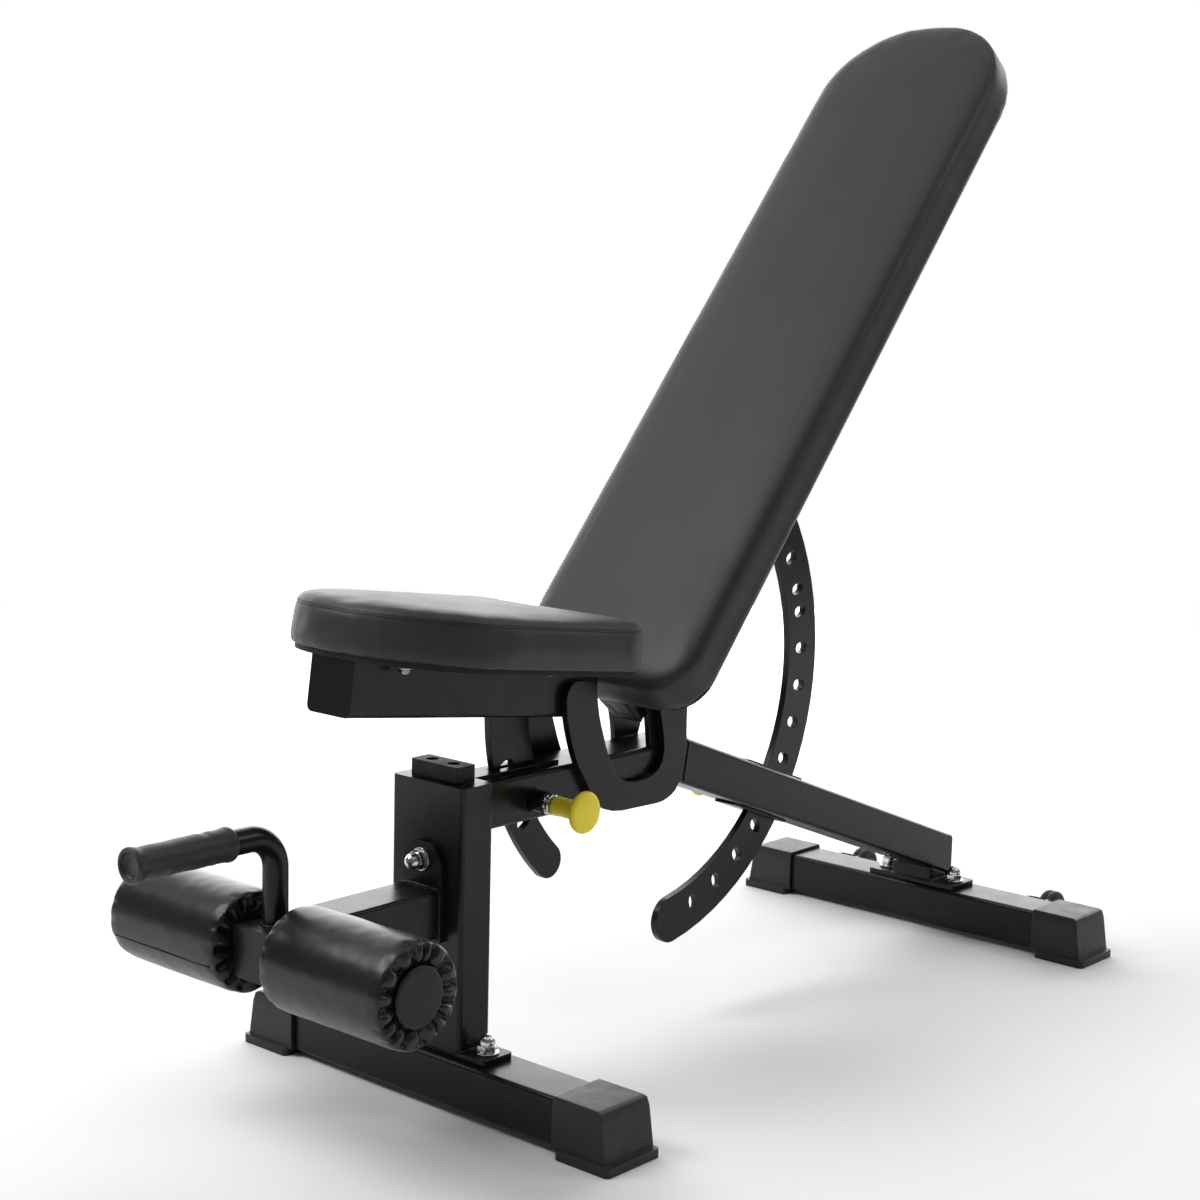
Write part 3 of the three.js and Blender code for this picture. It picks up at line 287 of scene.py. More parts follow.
# ---------------------------------------------------------------- mesh tools
class Build:
    """Gathers vertices and faces for one piece."""

    def __init__(self):
        self.points = []
        self.faces = []

    def ring_skin(self, rings, closed_along=False, caps=True):
        """Skins a list of rings of equal length. Ends are capped unless the last ring meets the first."""
        start = len(self.points)
        count = len(rings[0])
        for ring in rings:
            self.points.extend(ring)
        spans = len(rings) if closed_along else len(rings) - 1
        for i in range(spans):
            here = start + i * count
            there = start + ((i + 1) % len(rings)) * count
            for k in range(count):
                after = (k + 1) % count
                self.faces.append((here + k, here + after, there + after, there + k))
        if caps and not closed_along:
            self.faces.append(tuple(start + k for k in reversed(range(count))))
            self.faces.append(tuple(start + (len(rings) - 1) * count + k for k in range(count)))

    def tube(self, path, radius, sides=10, closed=False):
        """A round bar along a path. The radius may be a number or a function of the point's index."""
        count = len(path)
        tangent = (path[1] - path[0]).normalized()
        across = tangent.orthogonal().normalized()
        rings = []
        for i, point in enumerate(path):
            ahead = path[(i + 1) % count] if closed or i + 1 < count else point
            behind = path[i - 1] if closed or i > 0 else point
            direction = (ahead - behind).normalized()
            across = (across - direction * across.dot(direction)).normalized()
            other = direction.cross(across)
            size = radius(i) if callable(radius) else radius
            turns = [2 * math.pi * k / sides for k in range(sides)]
            rings.append([point + (across * math.cos(t) + other * math.sin(t)) * size for t in turns])
        self.ring_skin(rings, closed_along=closed)

    def turn(self, profile, segments=64, place=None, radius_at=None):
        """Turns a profile of (radius, distance) points about the local X axis. It closes on itself
        unless it starts and ends on the axis."""
        place = place or Matrix.Identity(4)
        on_axis = profile[0][0] < 1e-7
        outline = profile[1:-1] if on_axis else profile
        angles = [2 * math.pi * k / segments for k in range(segments)]
        rings = []
        for radius, along in outline:
            ring = []
            for angle in angles:
                r = radius_at(radius, along, angle) if radius_at else radius
                ring.append(place @ Vector((along, r * math.cos(angle), r * math.sin(angle))))
            rings.append(ring)
        self.ring_skin(rings, closed_along=not on_axis)

    def piece(self, name, material, body, slot, replaces=(), smooth=35, place=None):
        mesh = bpy.data.meshes.new(name)
        mesh.from_pydata([tuple(p) for p in self.points], [], self.faces)
        if place:
            mesh.transform(place)
        clean = bmesh.new()
        clean.from_mesh(mesh)
        bmesh.ops.recalc_face_normals(clean, faces=clean.faces)
        clean.to_mesh(mesh)
        clean.free()
        return adopt(name, mesh, material, body, replaces, smooth)


def adopt(name, mesh, material, body, replaces=(), smooth=35):
    """Makes an object of a finished mesh, and ties it to its CAD body."""
    mesh.materials.clear()
    mesh.materials.append(material)
    for face in mesh.polygons:
        face.use_smooth = True
    if smooth:
        mesh.set_sharp_from_angle(angle=math.radians(smooth))
    piece = bpy.data.objects.new(name, mesh)
    bpy.context.scene.collection.objects.link(piece)
    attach(piece, body)
    if replaces:
        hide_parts(*replaces)
    return piece


def filleted(corners, radius, steps=4):
    """Rounds the inner corners of a profile. A corner may carry its own radius as a third number."""
    rounded = [tuple(corners[0][:2])]
    for i in range(1, len(corners) - 1):
        before = Vector(corners[i - 1][:2])
        corner = Vector(corners[i][:2])
        after = Vector(corners[i + 1][:2])
        size = corners[i][2] if len(corners[i]) > 2 else radius
        reach = min(size, (corner - before).length * 0.49, (after - corner).length * 0.49)
        if reach < 1e-6:
            rounded.append(tuple(corner))
            continue
        first = corner + (before - corner).normalized() * reach
        last = corner + (after - corner).normalized() * reach
        for step in range(steps + 1):
            t = step / steps
            point = first * (1 - t) ** 2 + corner * (2 * t * (1 - t)) + last * t ** 2
            rounded.append(tuple(point))
    rounded.append(tuple(corners[-1][:2]))
    return rounded


def scaled(profile, size=MM):
    return [tuple(value * size for value in point) for point in profile]


def dense(profile, step):
    """Adds points to a profile so that none are further apart than step."""
    points = [profile[0]]
    for first, last in zip(profile, profile[1:]):
        a, b = Vector(first), Vector(last)
        pieces = max(1, math.ceil((b - a).length / step))
        points.extend(tuple(a.lerp(b, (k + 1) / pieces)) for k in range(pieces))
    return points


def smoothstep(low, high, value):
    t = max(0.0, min(1.0, (value - low) / (high - low)))
    return t * t * (3 - 2 * t)


def middle(node):
    low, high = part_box(node)
    return (low + high) / 2


def reach_across(node):
    """A node's nearest and furthest distance from the bench's middle plane."""
    low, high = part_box(node)
    return sorted((abs(low.x), abs(high.x)))


def facing(direction, origin):
    """A matrix whose local +X points along direction, placed at origin."""
    x = Vector(direction).normalized()
    helper = Vector((0, 0, 1)) if abs(x.z) < 0.9 else Vector((0, 1, 0))
    y = helper.cross(x).normalized()
    z = x.cross(y)
    turned = Matrix((x, y, z)).transposed().to_4x4()
    return Matrix.Translation(origin) @ turned


# ---------------------------------------------------------------- upholstered pads
class Outline:
    """A pad's outline in its own plane: X across, Y along, with a corner radius at each end."""

    def __init__(self, low, high, corners):
        self.low = low
        self.high = high
        self.corners = corners

    def points(self, inset, step=3 * MM):
        half = PAD_HALF_WIDTH - inset
        low = self.low + inset
        high = self.high - inset
        near = max(self.corners[0] - inset, 2 * MM)
        far = max(self.corners[1] - inset, 2 * MM)
        centres = [
            (half - near, low + near, near, -0.5), (half - far, high - far, far, 0.0),
            (-half + far, high - far, far, 0.5), (-half + near, low + near, near, 1.0)]
        corners = []
        for x, y, radius, start in centres:
            arc_steps = max(4, math.ceil(radius * math.pi / 2 / step))
            for k in range(arc_steps + 1):
                turn = (start + 0.5 * k / arc_steps) * math.pi
                corners.append((x + radius * math.cos(turn), y + radius * math.sin(turn)))
        return dense(corners + [corners[0]], step)[:-1]

    def depth(self, x, y):
        """How far a point lies inside the outline."""
        half_length = (self.high - self.low) / 2
        along = y - (self.low + self.high) / 2
        radius = self.corners[0] if along < 0 else self.corners[1]
        qx = abs(x) - PAD_HALF_WIDTH + radius
        qy = abs(along) - half_length + radius
        outside = math.hypot(max(qx, 0), max(qy, 0))
        return -(outside + min(max(qx, qy), 0) - radius)

    def inward(self, x, y):
        step = 0.5 * MM
        slope_x = self.depth(x + step, y) - self.depth(x - step, y)
        slope_y = self.depth(x, y + step) - self.depth(x, y - step)
        return Vector((slope_x, slope_y, 0)).normalized()


def local_box(node, place):
    """A node's lowest and highest corner in a frame of its own."""
    turned = place.inverted()
    points = [turned @ v.co for v in frame["nodes"][node].data.vertices]
    low = Vector([min(p[i] for p in points) for i in range(3)])
    high = Vector([max(p[i] for p in points) for i in range(3)])
    return low, high


SEAT_LOW, SEAT_HIGH = local_box("seat_pad", SEAT)
BACK_LOW, BACK_HIGH = local_box("back_pad", BACK)
SEAT_OUTLINE = Outline(SEAT_LOW.y, SEAT_HIGH.y, SEAT_CORNERS)
BACK_OUTLINE = Outline(BACK_LOW.y, BACK_HIGH.y, BACK_CORNERS)


def foam_start(node, place):
    """The CAD pad, remeshed evenly and laid flat in its own frame, ready to be blown up."""
    mesh = frame["nodes"][node].data.copy()
    mesh.transform(place.inverted())
    foam = bpy.data.objects.new(node + "_foam", mesh)
    bpy.context.scene.collection.objects.link(foam)
    merge = foam.modifiers.new("merge", "WELD")
    merge.merge_threshold = MERGE_GAP
    remesh = foam.modifiers.new("even", "REMESH")
    remesh.mode = "VOXEL"
    remesh.voxel_size = PAD_VOXEL
    relax = foam.modifiers.new("relax", "SMOOTH")
    relax.factor = 0.5
    relax.iterations = 3
    bake_modifiers(foam)
    return foam


def bake_modifiers(piece):
    seen = bpy.context.evaluated_depsgraph_get()
    final = bpy.data.meshes.new_from_object(piece.evaluated_get(seen))
    piece.modifiers.clear()
    old = piece.data
    piece.data = final
    bpy.data.meshes.remove(old)


def pin_underside(foam, floor):
    held = foam.vertex_groups.new(name="held")
    for vertex in foam.data.vertices:
        if vertex.co.z < floor:
            held.add([vertex.index], 1.0, "REPLACE")


def blow_up(foams):
    """Inflates the pads as cloth, all in one run, and keeps each point near its start."""
    starts = {foam: [v.co.copy() for v in foam.data.vertices] for foam in foams}
    for foam in foams:
        cloth = foam.modifiers.new("cover", "CLOTH")
        cloth.settings.quality = 5
        cloth.settings.mass = 0.3
        cloth.settings.tension_stiffness = 15
        cloth.settings.compression_stiffness = 12
        cloth.settings.bending_stiffness = 6
        cloth.settings.use_pressure = True
        cloth.settings.uniform_pressure_force = 4
        cloth.settings.effector_weights.gravity = 0
        cloth.settings.vertex_group_mass = "held"
        cloth.point_cache.frame_start = 1
        cloth.point_cache.frame_end = CLOTH_STEPS
    for step in range(1, CLOTH_STEPS + 1):
        bpy.context.scene.frame_set(step)
    for foam in foams:
        bake_modifiers(foam)
        for vertex, start in zip(foam.data.vertices, starts[foam]):
            moved = vertex.co - start
            if moved.length > PAD_SWELL:
                vertex.co = start + moved.normalized() * PAD_SWELL
    bpy.context.scene.frame_set(1)


def refine(foam):
    relax = foam.modifiers.new("relax", "SMOOTH")
    relax.factor = 0.5
    relax.iterations = 12
    finer = foam.modifiers.new("finer", "SUBSURF")
    finer.levels = 1
    finer.render_levels = 1
    bake_modifiers(foam)


def sew(foam, outline, seams):
    """Pulls the cover in along each seam, given as (depth inside the outline, height), and
    lets the foam rise and fall a little over the whole pad."""
    width = 2.6 * MM
    pull = 1.3 * MM
    edge_zone = 25 * MM
    for vertex in foam.data.vertices:
        x, y, z = vertex.co
        depth = outline.depth(x, y)
        if depth > edge_zone:
            vertex.co.z += 0.35 * MM * noise.noise(Vector((x, y, z)) * 14)
            continue
        inward = outline.inward(x, y)
        for seam_depth, seam_height in seams:
            gap = math.hypot(depth - seam_depth, z - seam_height)
            share = math.exp(-(gap / width) ** 2)
            vertex.co += (inward * 0.8 + Vector((0, 0, -0.6))) * pull * share
        vertex.co += inward * 0.5 * MM * noise.noise(Vector((x, y, z)) * 22)


def surface_path(tree, outline, depth, height, lift, step=2 * MM):
    """Points and normals along a line on the cover, at a depth inside the outline and a height."""
    path = []
    for x, y in outline.points(depth, step):
        spot, normal, _, _ = tree.find_nearest(Vector((x, y, height)))
        path.append((spot + normal * lift, normal))
    return path


def add_stitches(build, points, length, pitch, radius):
    """Short rounded dashes of thread along a closed path."""
    travelled = 0.0
    due = 0.0
    for here, there in zip(points, points[1:] + points[:1]):
        gap = (there - here).length
        while due < travelled + gap:
            start = here.lerp(there, (due - travelled) / max(gap, 1e-9))
            direction = (there - here).normalized()
            dash = [start + direction * length * t for t in (0, 0.15, 0.5, 0.85, 1)]
            sizes = [0.35, 0.9, 1.0, 0.9, 0.35]
            build.tube(dash, lambda i: radius * sizes[i], sides=5)
            due += pitch
        travelled += gap


def upholster(foam, name, place, outline, body, node, seams, stitch_rows):
    sew(foam, outline, seams)
    tree = BVHTree.FromObject(foam, bpy.context.evaluated_depsgraph_get())
    fold = Build()
    for depth, height in seams:
        path = surface_path(tree, outline, depth, height, -0.1 * MM)
        fold.tube([point for point, _ in path], 0.42 * MM, sides=6, closed=True)
    fold.piece(name + "_seam", THREAD, body, "pad_vinyl", place=place)
    stitches = Build()
    for depth, height in stitch_rows:
        path = surface_path(tree, outline, depth, height, 0.12 * MM)
        add_stitches(stitches, [point for point, _ in path], 3.0 * MM, 4.4 * MM, 0.36 * MM)
    stitches.piece(name + "_stitches", THREAD, body, "pad_vinyl", place=place)
    mesh = foam.data.copy()
    mesh.transform(place)
    bpy.data.objects.remove(foam)
    cover = adopt(name + "_cover", mesh, PAD_VINYL, body, [node], smooth=0)


def backing_rim(name, place, outline, base, body):
    """The cover's turned-over margin under the board, with the staples that hold it."""
    margin = Build()
    start = 6          # the margin's section is given in millimetres inside this line
    section = [(2, 0.1), (20, 0.1), (21, -0.25), (20, -0.6), (2, -0.6), (1, -0.25)]
    rings = []
    for reach, drop in section:
        ring = []
        for x, y in outline.points(start * MM, 6 * MM):
            point = Vector((x, y, base + drop * MM))
            cut_edge = reach > 14
            ripple = 1.5 * MM * noise.noise(point * 60) if cut_edge else 0.0
            ring.append(point + outline.inward(x, y) * (reach * MM + ripple))
        rings.append(ring)
    margin.ring_skin(rings, closed_along=True)
    margin.piece(name + "_turned_edge", PAD_VINYL, body, "pad_vinyl", place=place)
    staples = Build()
    path = outline.points(19 * MM, 2 * MM)
    points_between_staples = 14
    for i in range(0, len(path) - 1, points_between_staples):
        x, y = path[i]
        forward = (Vector((*path[i + 1], 0)) - Vector((x, y, 0))).normalized()
        crown = [Vector((x, y, base - 0.9 * MM)) + forward * t * MM for t in (-5, -4.6, 0, 4.6, 5)]
        for end in (0, -1):
            crown[end].z += 0.8 * MM
        staples.tube(crown, 0.45 * MM, sides=6)
    staples.piece(name + "_staples", ZINC, body, "zinc_steel", place=place)


def make_pads():
    seat_foam = foam_start("seat_pad", SEAT)
    back_foam = foam_start("back_pad", BACK)
    pin_underside(seat_foam, SEAT_LOW.z + PINNED_HEIGHT)
    pin_underside(back_foam, BACK_LOW.z + PINNED_HEIGHT)
    blow_up([seat_foam, back_foam])
    refine(seat_foam)
    refine(back_foam)
    seat_edge = SEAT_LOW.z + 54.5 * MM
    back_edge = BACK_LOW.z + 53.4 * MM
    upholster(
        seat_foam, "seat", SEAT, SEAT_OUTLINE, "seat", "seat_pad",
        seams=[(0.5 * MM, seat_edge - 9 * MM)],
        stitch_rows=[(0.5 * MM, seat_edge - 6.4 * MM)])
    upholster(
        back_foam, "back", BACK, BACK_OUTLINE, "backrest", "back_pad",
        seams=[(1.2 * MM, back_edge - 3.5 * MM)],
        stitch_rows=[(4.6 * MM, back_edge), (0.2 * MM, back_edge - 7 * MM)])
    backing_rim("seat", SEAT, SEAT_OUTLINE, SEAT_LOW.z, "seat")
    backing_rim("back", BACK, BACK_OUTLINE, BACK_LOW.z, "backrest")


# ---------------------------------------------------------------- leg rollers
PLEATS = 15
OUTER_END = 5                        # added to the seed for the folds at a roller's outer end
ROLLER_SEED = 3.7                    # picks the pattern of folds
ROLLER_AXIS = Vector(JOINTS["roller_spin_left"]["pos_m"])


def pleat(angle, seed):
    """0 on a fold's crest and 1 in its valley, with folds of uneven width."""
    drift = 0.55 * noise.noise(Vector((math.cos(angle) * 1.4, math.sin(angle) * 1.4, seed)))
    wave = math.cos(PLEATS * (angle + drift * 0.45))
    return (0.5 - 0.5 * wave) ** 2.2


def roller_profile(length):
    """The cover's section as (radius, distance): dished ends with soft shoulders round a core hole."""
    end = [(18, 9), (27, 8.5, 2), (29.5, 3, 3), (38, -1.6, 8), (49.2, 1.6, 7), (50, 11, 6), (50, 30)]
    near_end = [(r * MM, x * MM, *rest) for r, x, *rest in end]
    far_end = [(r, length - x, *rest) for r, x, *rest in reversed(near_end)]
    return dense(filleted(near_end + far_end, 4 * MM, 8), 1.8 * MM)


def make_roller(side, sign):
    inner, outer = reach_across("roller_pad_" + side)
    length = outer - inner
    seed = ROLLER_SEED * sign
    segments = PLEATS * 18
    cover = Build()
    rings = []
    for radius, along in roller_profile(length):
        from_end = min(along, length - along)
        on_face = smoothstep(49.5 * MM, 45 * MM, radius) * smoothstep(12 * MM, 5 * MM, from_end)
        gather = smoothstep(27 * MM, 31 * MM, radius) * smoothstep(50.4 * MM, 42 * MM, radius)
        shoulder = smoothstep(15 * MM, 3 * MM, from_end) * smoothstep(47 * MM, 49.8 * MM, radius)
        outward = -1 if along < length / 2 else 1
        end_seed = seed + (OUTER_END if outward > 0 else 0)
        ring = []
        for k in range(segments):
            angle = 2 * math.pi * k / segments
            valley = pleat(angle, end_seed)
            round_place = Vector((along * 26, math.cos(angle) * 1.3 + seed, math.sin(angle) * 1.3))
            slack = noise.noise(round_place)
            creases = noise.noise(round_place * 3.1)
            loose = (slack * 0.5 + creases * 0.18) * MM * (1 - on_face)
            r = radius + loose - valley * (1.1 * shoulder + 1.2 * gather * on_face) * MM
            x = sign * (inner + along - outward * valley * 6.2 * MM * gather * on_face)
            ring.append(ROLLER_AXIS + Vector((x, r * math.cos(angle), r * math.sin(angle))))
        rings.append(ring)
    cover.ring_skin(rings, closed_along=True)
    pad = cover.piece(
        "roller_cover_" + side, ROLLER_VINYL, "roller_" + side, "roller_vinyl", ["roller_pad_" + side],
        smooth=0)
    make_roller_seam(side, sign, inner, length)
    make_roller_disc(side, sign)


def make_roller_seam(side, sign, inner, length):
    """The lengthwise join in the cover, a ridge that wanders a little."""
    angle = math.radians(199 if sign < 0 else 335)
    radius = 50.1 * MM
    margin = 9 * MM
    spans = 40
    path = []
    for k in range(spans + 1):
        x = inner + margin + (length - 2 * margin) * k / spans
        turn = angle + 0.006 * noise.noise(Vector((x * 40, sign, 0)))
        path.append(ROLLER_AXIS + Vector((sign * x, radius * math.cos(turn), radius * math.sin(turn))))
    seam = Build()
    seam.tube(path, 0.8 * MM, sides=8)
    seam.piece("roller_seam_" + side, ROLLER_VINYL, "roller_" + side, "roller_vinyl")


def make_roller_disc(side, sign):
    """The round end panel that the gathered cover is drawn in behind."""
    low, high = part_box("roller_cap_" + side)
    back, face = reach_across("roller_cap_" + side)
    radius = (high.z - low.z) / 2
    place = facing((sign, 0, 0), ROLLER_AXIS)
    profile = filleted([
        (0, back), (16.5 * MM, back), (16.5 * MM, back + 1 * MM), (radius, back + 1 * MM),
        (radius + 0.6 * MM, face - 3.6 * MM, 1 * MM), (radius - 1.5 * MM, face - 2.2 * MM, 1.2 * MM),
        (8 * MM, face - 1.8 * MM, 4 * MM), (0, face - 1.9 * MM)], 1 * MM)
    disc = Build()

    def puckered(r, along, angle):
        share = smoothstep(radius - 7 * MM, radius, r)
        return r + share * 0.7 * MM * (0.5 - pleat(angle, ROLLER_SEED * sign + OUTER_END))

    disc.turn(profile, PLEATS * 12, place, puckered)
    disc.piece(
        "roller_end_panel_" + side, DISC_VINYL, "roller_" + side, "roller_vinyl", ["roller_cap_" + side])


# ---------------------------------------------------------------- handle
def make_handle():
    low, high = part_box("handle_bar")
    radius = (high.x - low.x) / 2
    rise_y = high.y - radius
    level = high.z - radius
    bend = 32 * MM                     # how far before the corner the bend starts
    pull = bend * 0.45                 # how far from the corner the curve's handles lie
    rise_spans, bend_spans, level_spans = 6, 24, 12
    first = Vector((0, rise_y, level - bend))
    second = Vector((0, rise_y, level - pull))
    third = Vector((0, rise_y - pull, level))
    fourth = Vector((0, rise_y - bend, level))
    foot = Vector((0, rise_y, low.z))
    path = [foot - Vector((0, 0, 0.2 * MM))]
    path += [foot.lerp(first, k / rise_spans) for k in range(1, rise_spans + 1)]
    for k in range(1, bend_spans + 1):
        t = k / bend_spans
        s = 1 - t
        path.append(first * s ** 3 + second * 3 * s * s * t + third * 3 * s * t * t + fourth * t ** 3)
    end = Vector((0, low.y, level))
    path += [fourth.lerp(end, k / level_spans) for k in range(1, level_spans + 1)]
    bar = Build()
    bar.tube(path, radius, sides=48)
    bar.piece("handle_pipe", POWDER, "frame", "powder_coat", ["handle_bar"])


def make_grip():
    low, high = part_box("handle_grip")
    centre = middle("handle_grip")
    core = 14 * MM                     # nothing inside this radius is wrinkled
    length = high.y - low.y
    end = length / MM
    corners = scaled([
        (0, 5), (9.5, 5), (11.6, 3.4), (12.4, 0.6), (14.6, 0), (16.6, 1.4), (16.9, 4), (16, 7.5),
        (15.1, 11), (15.3, 26), (15.3, end - 15), (15.7, end - 8), (16.4, end - 6), (16.4, end - 2.5),
        (15.4, end - 0.4), (12.6, end), (12.6, 16), (0, 16)])
    profile = dense(filleted(corners, 2.5 * MM, 5), 0.8 * MM)
    place = facing((0, 1, 0), Vector((centre.x, low.y, centre.z)))

    def wrinkled(r, along, angle):
        if r < core:
            return r
        share = smoothstep(22 * MM, 38 * MM, along)
        share *= smoothstep(length - 14 * MM, length - 30 * MM, along)
        rings = math.sin(along / (2.7 * MM) + 1.6 * noise.noise(Vector((along * 40, angle, 0.3))))
        y, z = math.cos(angle), math.sin(angle)
        patch = smoothstep(-0.15, 0.3, noise.noise(Vector((along * 24, y * 0.8, z * 0.8))))
        lumps = noise.noise(Vector((along * 60, y * 1.2, z * 1.2)))
        return r + share * (rings * 0.45 * patch + lumps * 0.6) * MM

    grip = Build()
    grip.turn(profile, 72, place, wrinkled)
    grip.piece("rubber_grip", GRIP_RUBBER, "frame", "grip_rubber", ["handle_grip"], smooth=50)


# ---------------------------------------------------------------- fasteners
def hexagon(apothem):
    """A radius limit that gives a turned blank six flats."""
    def limit(r, along, angle):
        lean = (angle % (math.pi / 3)) - math.pi / 6
        return min(r, apothem / math.cos(lean))
    return limit


def add_hex(build, place, start, end, apothem):
    """A hexagon nut or bolt head with chamfered faces."""
    face = apothem * 0.93
    corner = apothem / math.cos(math.pi / 6) * 1.01
    chamfer = (end - start) * 0.16
    profile = [
        (0, start), (face, start), (corner, start + chamfer),
        (corner, end - chamfer), (face, end), (0, end)]
    build.turn(filleted(profile, 0.25 * MM, 2), 72, place, hexagon(apothem))


def add_washer(build, place, start, radius, thickness):
    profile = filleted([
        (0, start), (radius, start), (radius, start + thickness), (0, start + thickness)], 0.5 * MM, 3)
    build.turn(profile, 48, place)


def make_cap_nut(name, node, seat, direction):
    """A domed cap nut on a washer, standing on a face at seat and pointing along direction."""
    place = facing(direction, seat)
    nut = Build()
    add_washer(nut, place, 0.3 * MM, 12 * MM, 2 * MM)
    add_hex(nut, place, 2.3 * MM, 9.8 * MM, 8.9 * MM)
    radius = 8.4 * MM
    spring_line = 11.6 * MM
    dome = [(0, 9 * MM), (radius - 0.1 * MM, 9 * MM), (radius, spring_line)]
    for k in range(1, 9):
        turn = math.pi / 2 * k / 9
        dome.append((radius * math.cos(turn), spring_line + radius * math.sin(turn)))
    dome.append((0, spring_line + radius))
    nut.turn(dome, 48, place)
    shank = [(0, -22 * MM), (5.2 * MM, -22 * MM), (6 * MM, -21 * MM), (6 * MM, 1 * MM), (0, 1 * MM)]
    nut.turn(shank, 32, place)
    nut.piece(name, ZINC, "frame", "zinc_steel", [node])


def make_foot_nuts():
    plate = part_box("post_base_plate")[1].z
    for end in ("front", "rear"):
        for side, _ in SIDES:
            node = f"{end}_foot_bolt_{side}"
            centre = middle(node)
            make_cap_nut(f"{end}_cap_nut_{side}", node, Vector((centre.x, centre.y, plate)), (0, 0, 1))


def make_arm_nut():
    nut_height = 20.3 * MM
    seat = middle("leg_arm_bolt")
    seat.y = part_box("leg_arm_bolt")[0].y + nut_height
    make_cap_nut("leg_arm_cap_nut", "leg_arm_bolt", seat, (0, -1, 0))


def make_pivot_bolt():
    """The long bolt through links, cheeks and spine, with a washer and a hexagon at each end."""
    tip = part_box("pivot_bolt")[1].x
    bolt = Build()
    place = facing((1, 0, 0), PIVOT)
    half, radius = 44 * MM, 8 * MM
    bolt.turn([(0, -half), (radius, -half), (radius, half), (0, half)], 48, place)
    for direction in (-1, 1):
        end = facing((direction, 0, 0), PIVOT)
        add_washer(bolt, end, 39.6 * MM, 13 * MM, 2 * MM)
        add_hex(bolt, end, 41.6 * MM, 49 * MM, 10.8 * MM)
    thread_end = [(0, 48 * MM), (7.4 * MM, 48 * MM), (7.4 * MM, 50 * MM), (0, tip)]
    bolt.turn(filleted(thread_end, 0.6 * MM), 32, place)
    bolt.piece("pivot_bolt_and_nut", ZINC, "frame", "zinc_steel", ["pivot_bolt"])


# ---------------------------------------------------------------- pull pins
def make_pull_pin(which, sign):
    origin = middle(which + "_pin_knob")
    origin.x = 0
    place = facing((sign, 0, 0), origin)
    start, top = reach_across(which + "_pin_knob")
    profile = filleted([
        (0, start), (9.2 * MM, start, 0.8 * MM), (10.3 * MM, start + 1.2 * MM, 0.8 * MM),
        (9.7 * MM, start + 8 * MM, 6 * MM), (10.2 * MM, top - 17 * MM, 6 * MM),
        (13.4 * MM, top - 11.5 * MM, 3 * MM), (20.2 * MM, top - 9.4 * MM, 2.4 * MM),
        (21.8 * MM, top - 6.8 * MM, 2 * MM), (21.6 * MM, top - 4.4 * MM, 2 * MM),
        (19.4 * MM, top - 1.8 * MM, 3 * MM), (10 * MM, top, 8 * MM), (0, top)],
        1 * MM, 6)
    knob = Build()
    knob.turn(profile, 96, place)
    knob.piece(which + "_knob", YELLOW, which + "_pin", "yellow_plastic", [which + "_pin_knob"], smooth=50)
    make_sleeve(which, place)


def make_sleeve(which, place):
    """The threaded sleeve: a knurled collar, a dark groove and a hexagon nut against the boss."""
    inner, outer = reach_across(which + "_pin_sleeve")
    hole = 6.09 * MM
    face = inner + 1.7 * MM

    def hex_flats(r, along, angle):
        if r < 9.6 * MM or along > face + 3.9 * MM:
            return r
        return hexagon(9.9 * MM)(r, along, angle)

    profile = [
        (hole, inner), (9.0 * MM, inner), (9.0 * MM, face), (10.2 * MM, face + 0.01 * MM),
        (11 * MM, face + 0.6 * MM), (11 * MM, face + 3.2 * MM), (10.2 * MM, face + 3.8 * MM),
        (9.2 * MM, face + 4.0 * MM),
        (9.2 * MM, face + 5.0 * MM), (10.2 * MM, face + 5.2 * MM), (10.8 * MM, face + 5.8 * MM),
        (10.8 * MM, outer - 0.8 * MM), (10 * MM, outer), (hole, outer), (hole, (inner + outer) / 2)]
    sleeve = Build()
    sleeve.turn(profile, 96, place, hex_flats)
    sleeve.piece(which + "_sleeve_nut", ZINC, "frame", "zinc_steel", [which + "_pin_sleeve"])


# ---------------------------------------------------------------- weld beads
FINE_BEAD = 1.5 * MM
FULL_BEAD = 1.8 * MM
PLATE_FACE = 4.2 * MM                # half the thickness of a locking plate, and the bead's root


def beam_bend():
    """Where along the bench the beam's sloped part starts, at its top face."""
    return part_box("beam_sloped_tube")[0].y + 9 * MM


def weld_line(build, corners, radius=1.9 * MM, closed=False):
    """A bead with the overlapping ripples of a run of weld, along straight stretches."""
    path = [Vector(corners[0])]
    ends = corners[1:] + corners[:1] if closed else corners[1:]
    for first, last in zip(corners, ends):
        a, b = Vector(first), Vector(last)
        count = max(2, round((b - a).length / (1.0 * MM)))
        path += [a.lerp(b, (k + 1) / count) for k in range(count)]
    if closed:
        path.pop()
    points_per_ripple = 3.4

    def ripple(i):
        phase = (i / points_per_ripple) % 1.0
        swell = 1.0 - 0.30 * phase
        return radius * swell * (1 + 0.14 * noise.noise(path[i] * 260))

    build.tube(path, ripple, sides=9, closed=closed)


def ring_corners(x_half, y_low, y_high, z, corner=4 * MM):
    """A rectangle in a level plane with clipped corners."""
    return [
        (x_half - corner, y_low, z), (x_half, y_low + corner, z), (x_half, y_high - corner, z),
        (x_half - corner, y_high, z), (-x_half + corner, y_high, z), (-x_half, y_high - corner, z),
        (-x_half, y_low + corner, z), (-x_half + corner, y_low, z)]


def upright_ring(x_half, z_low, z_high, y, corner=4 * MM):
    return [(x, y, z) for x, z, _ in ring_corners(x_half, z_low, z_high, 0, corner)]


def circle(centre, radius, axis, count=40):
    place = facing(axis, centre)
    turns = [2 * math.pi * k / count for k in range(count)]
    return [place @ Vector((0, radius * math.cos(t), radius * math.sin(t))) for t in turns]


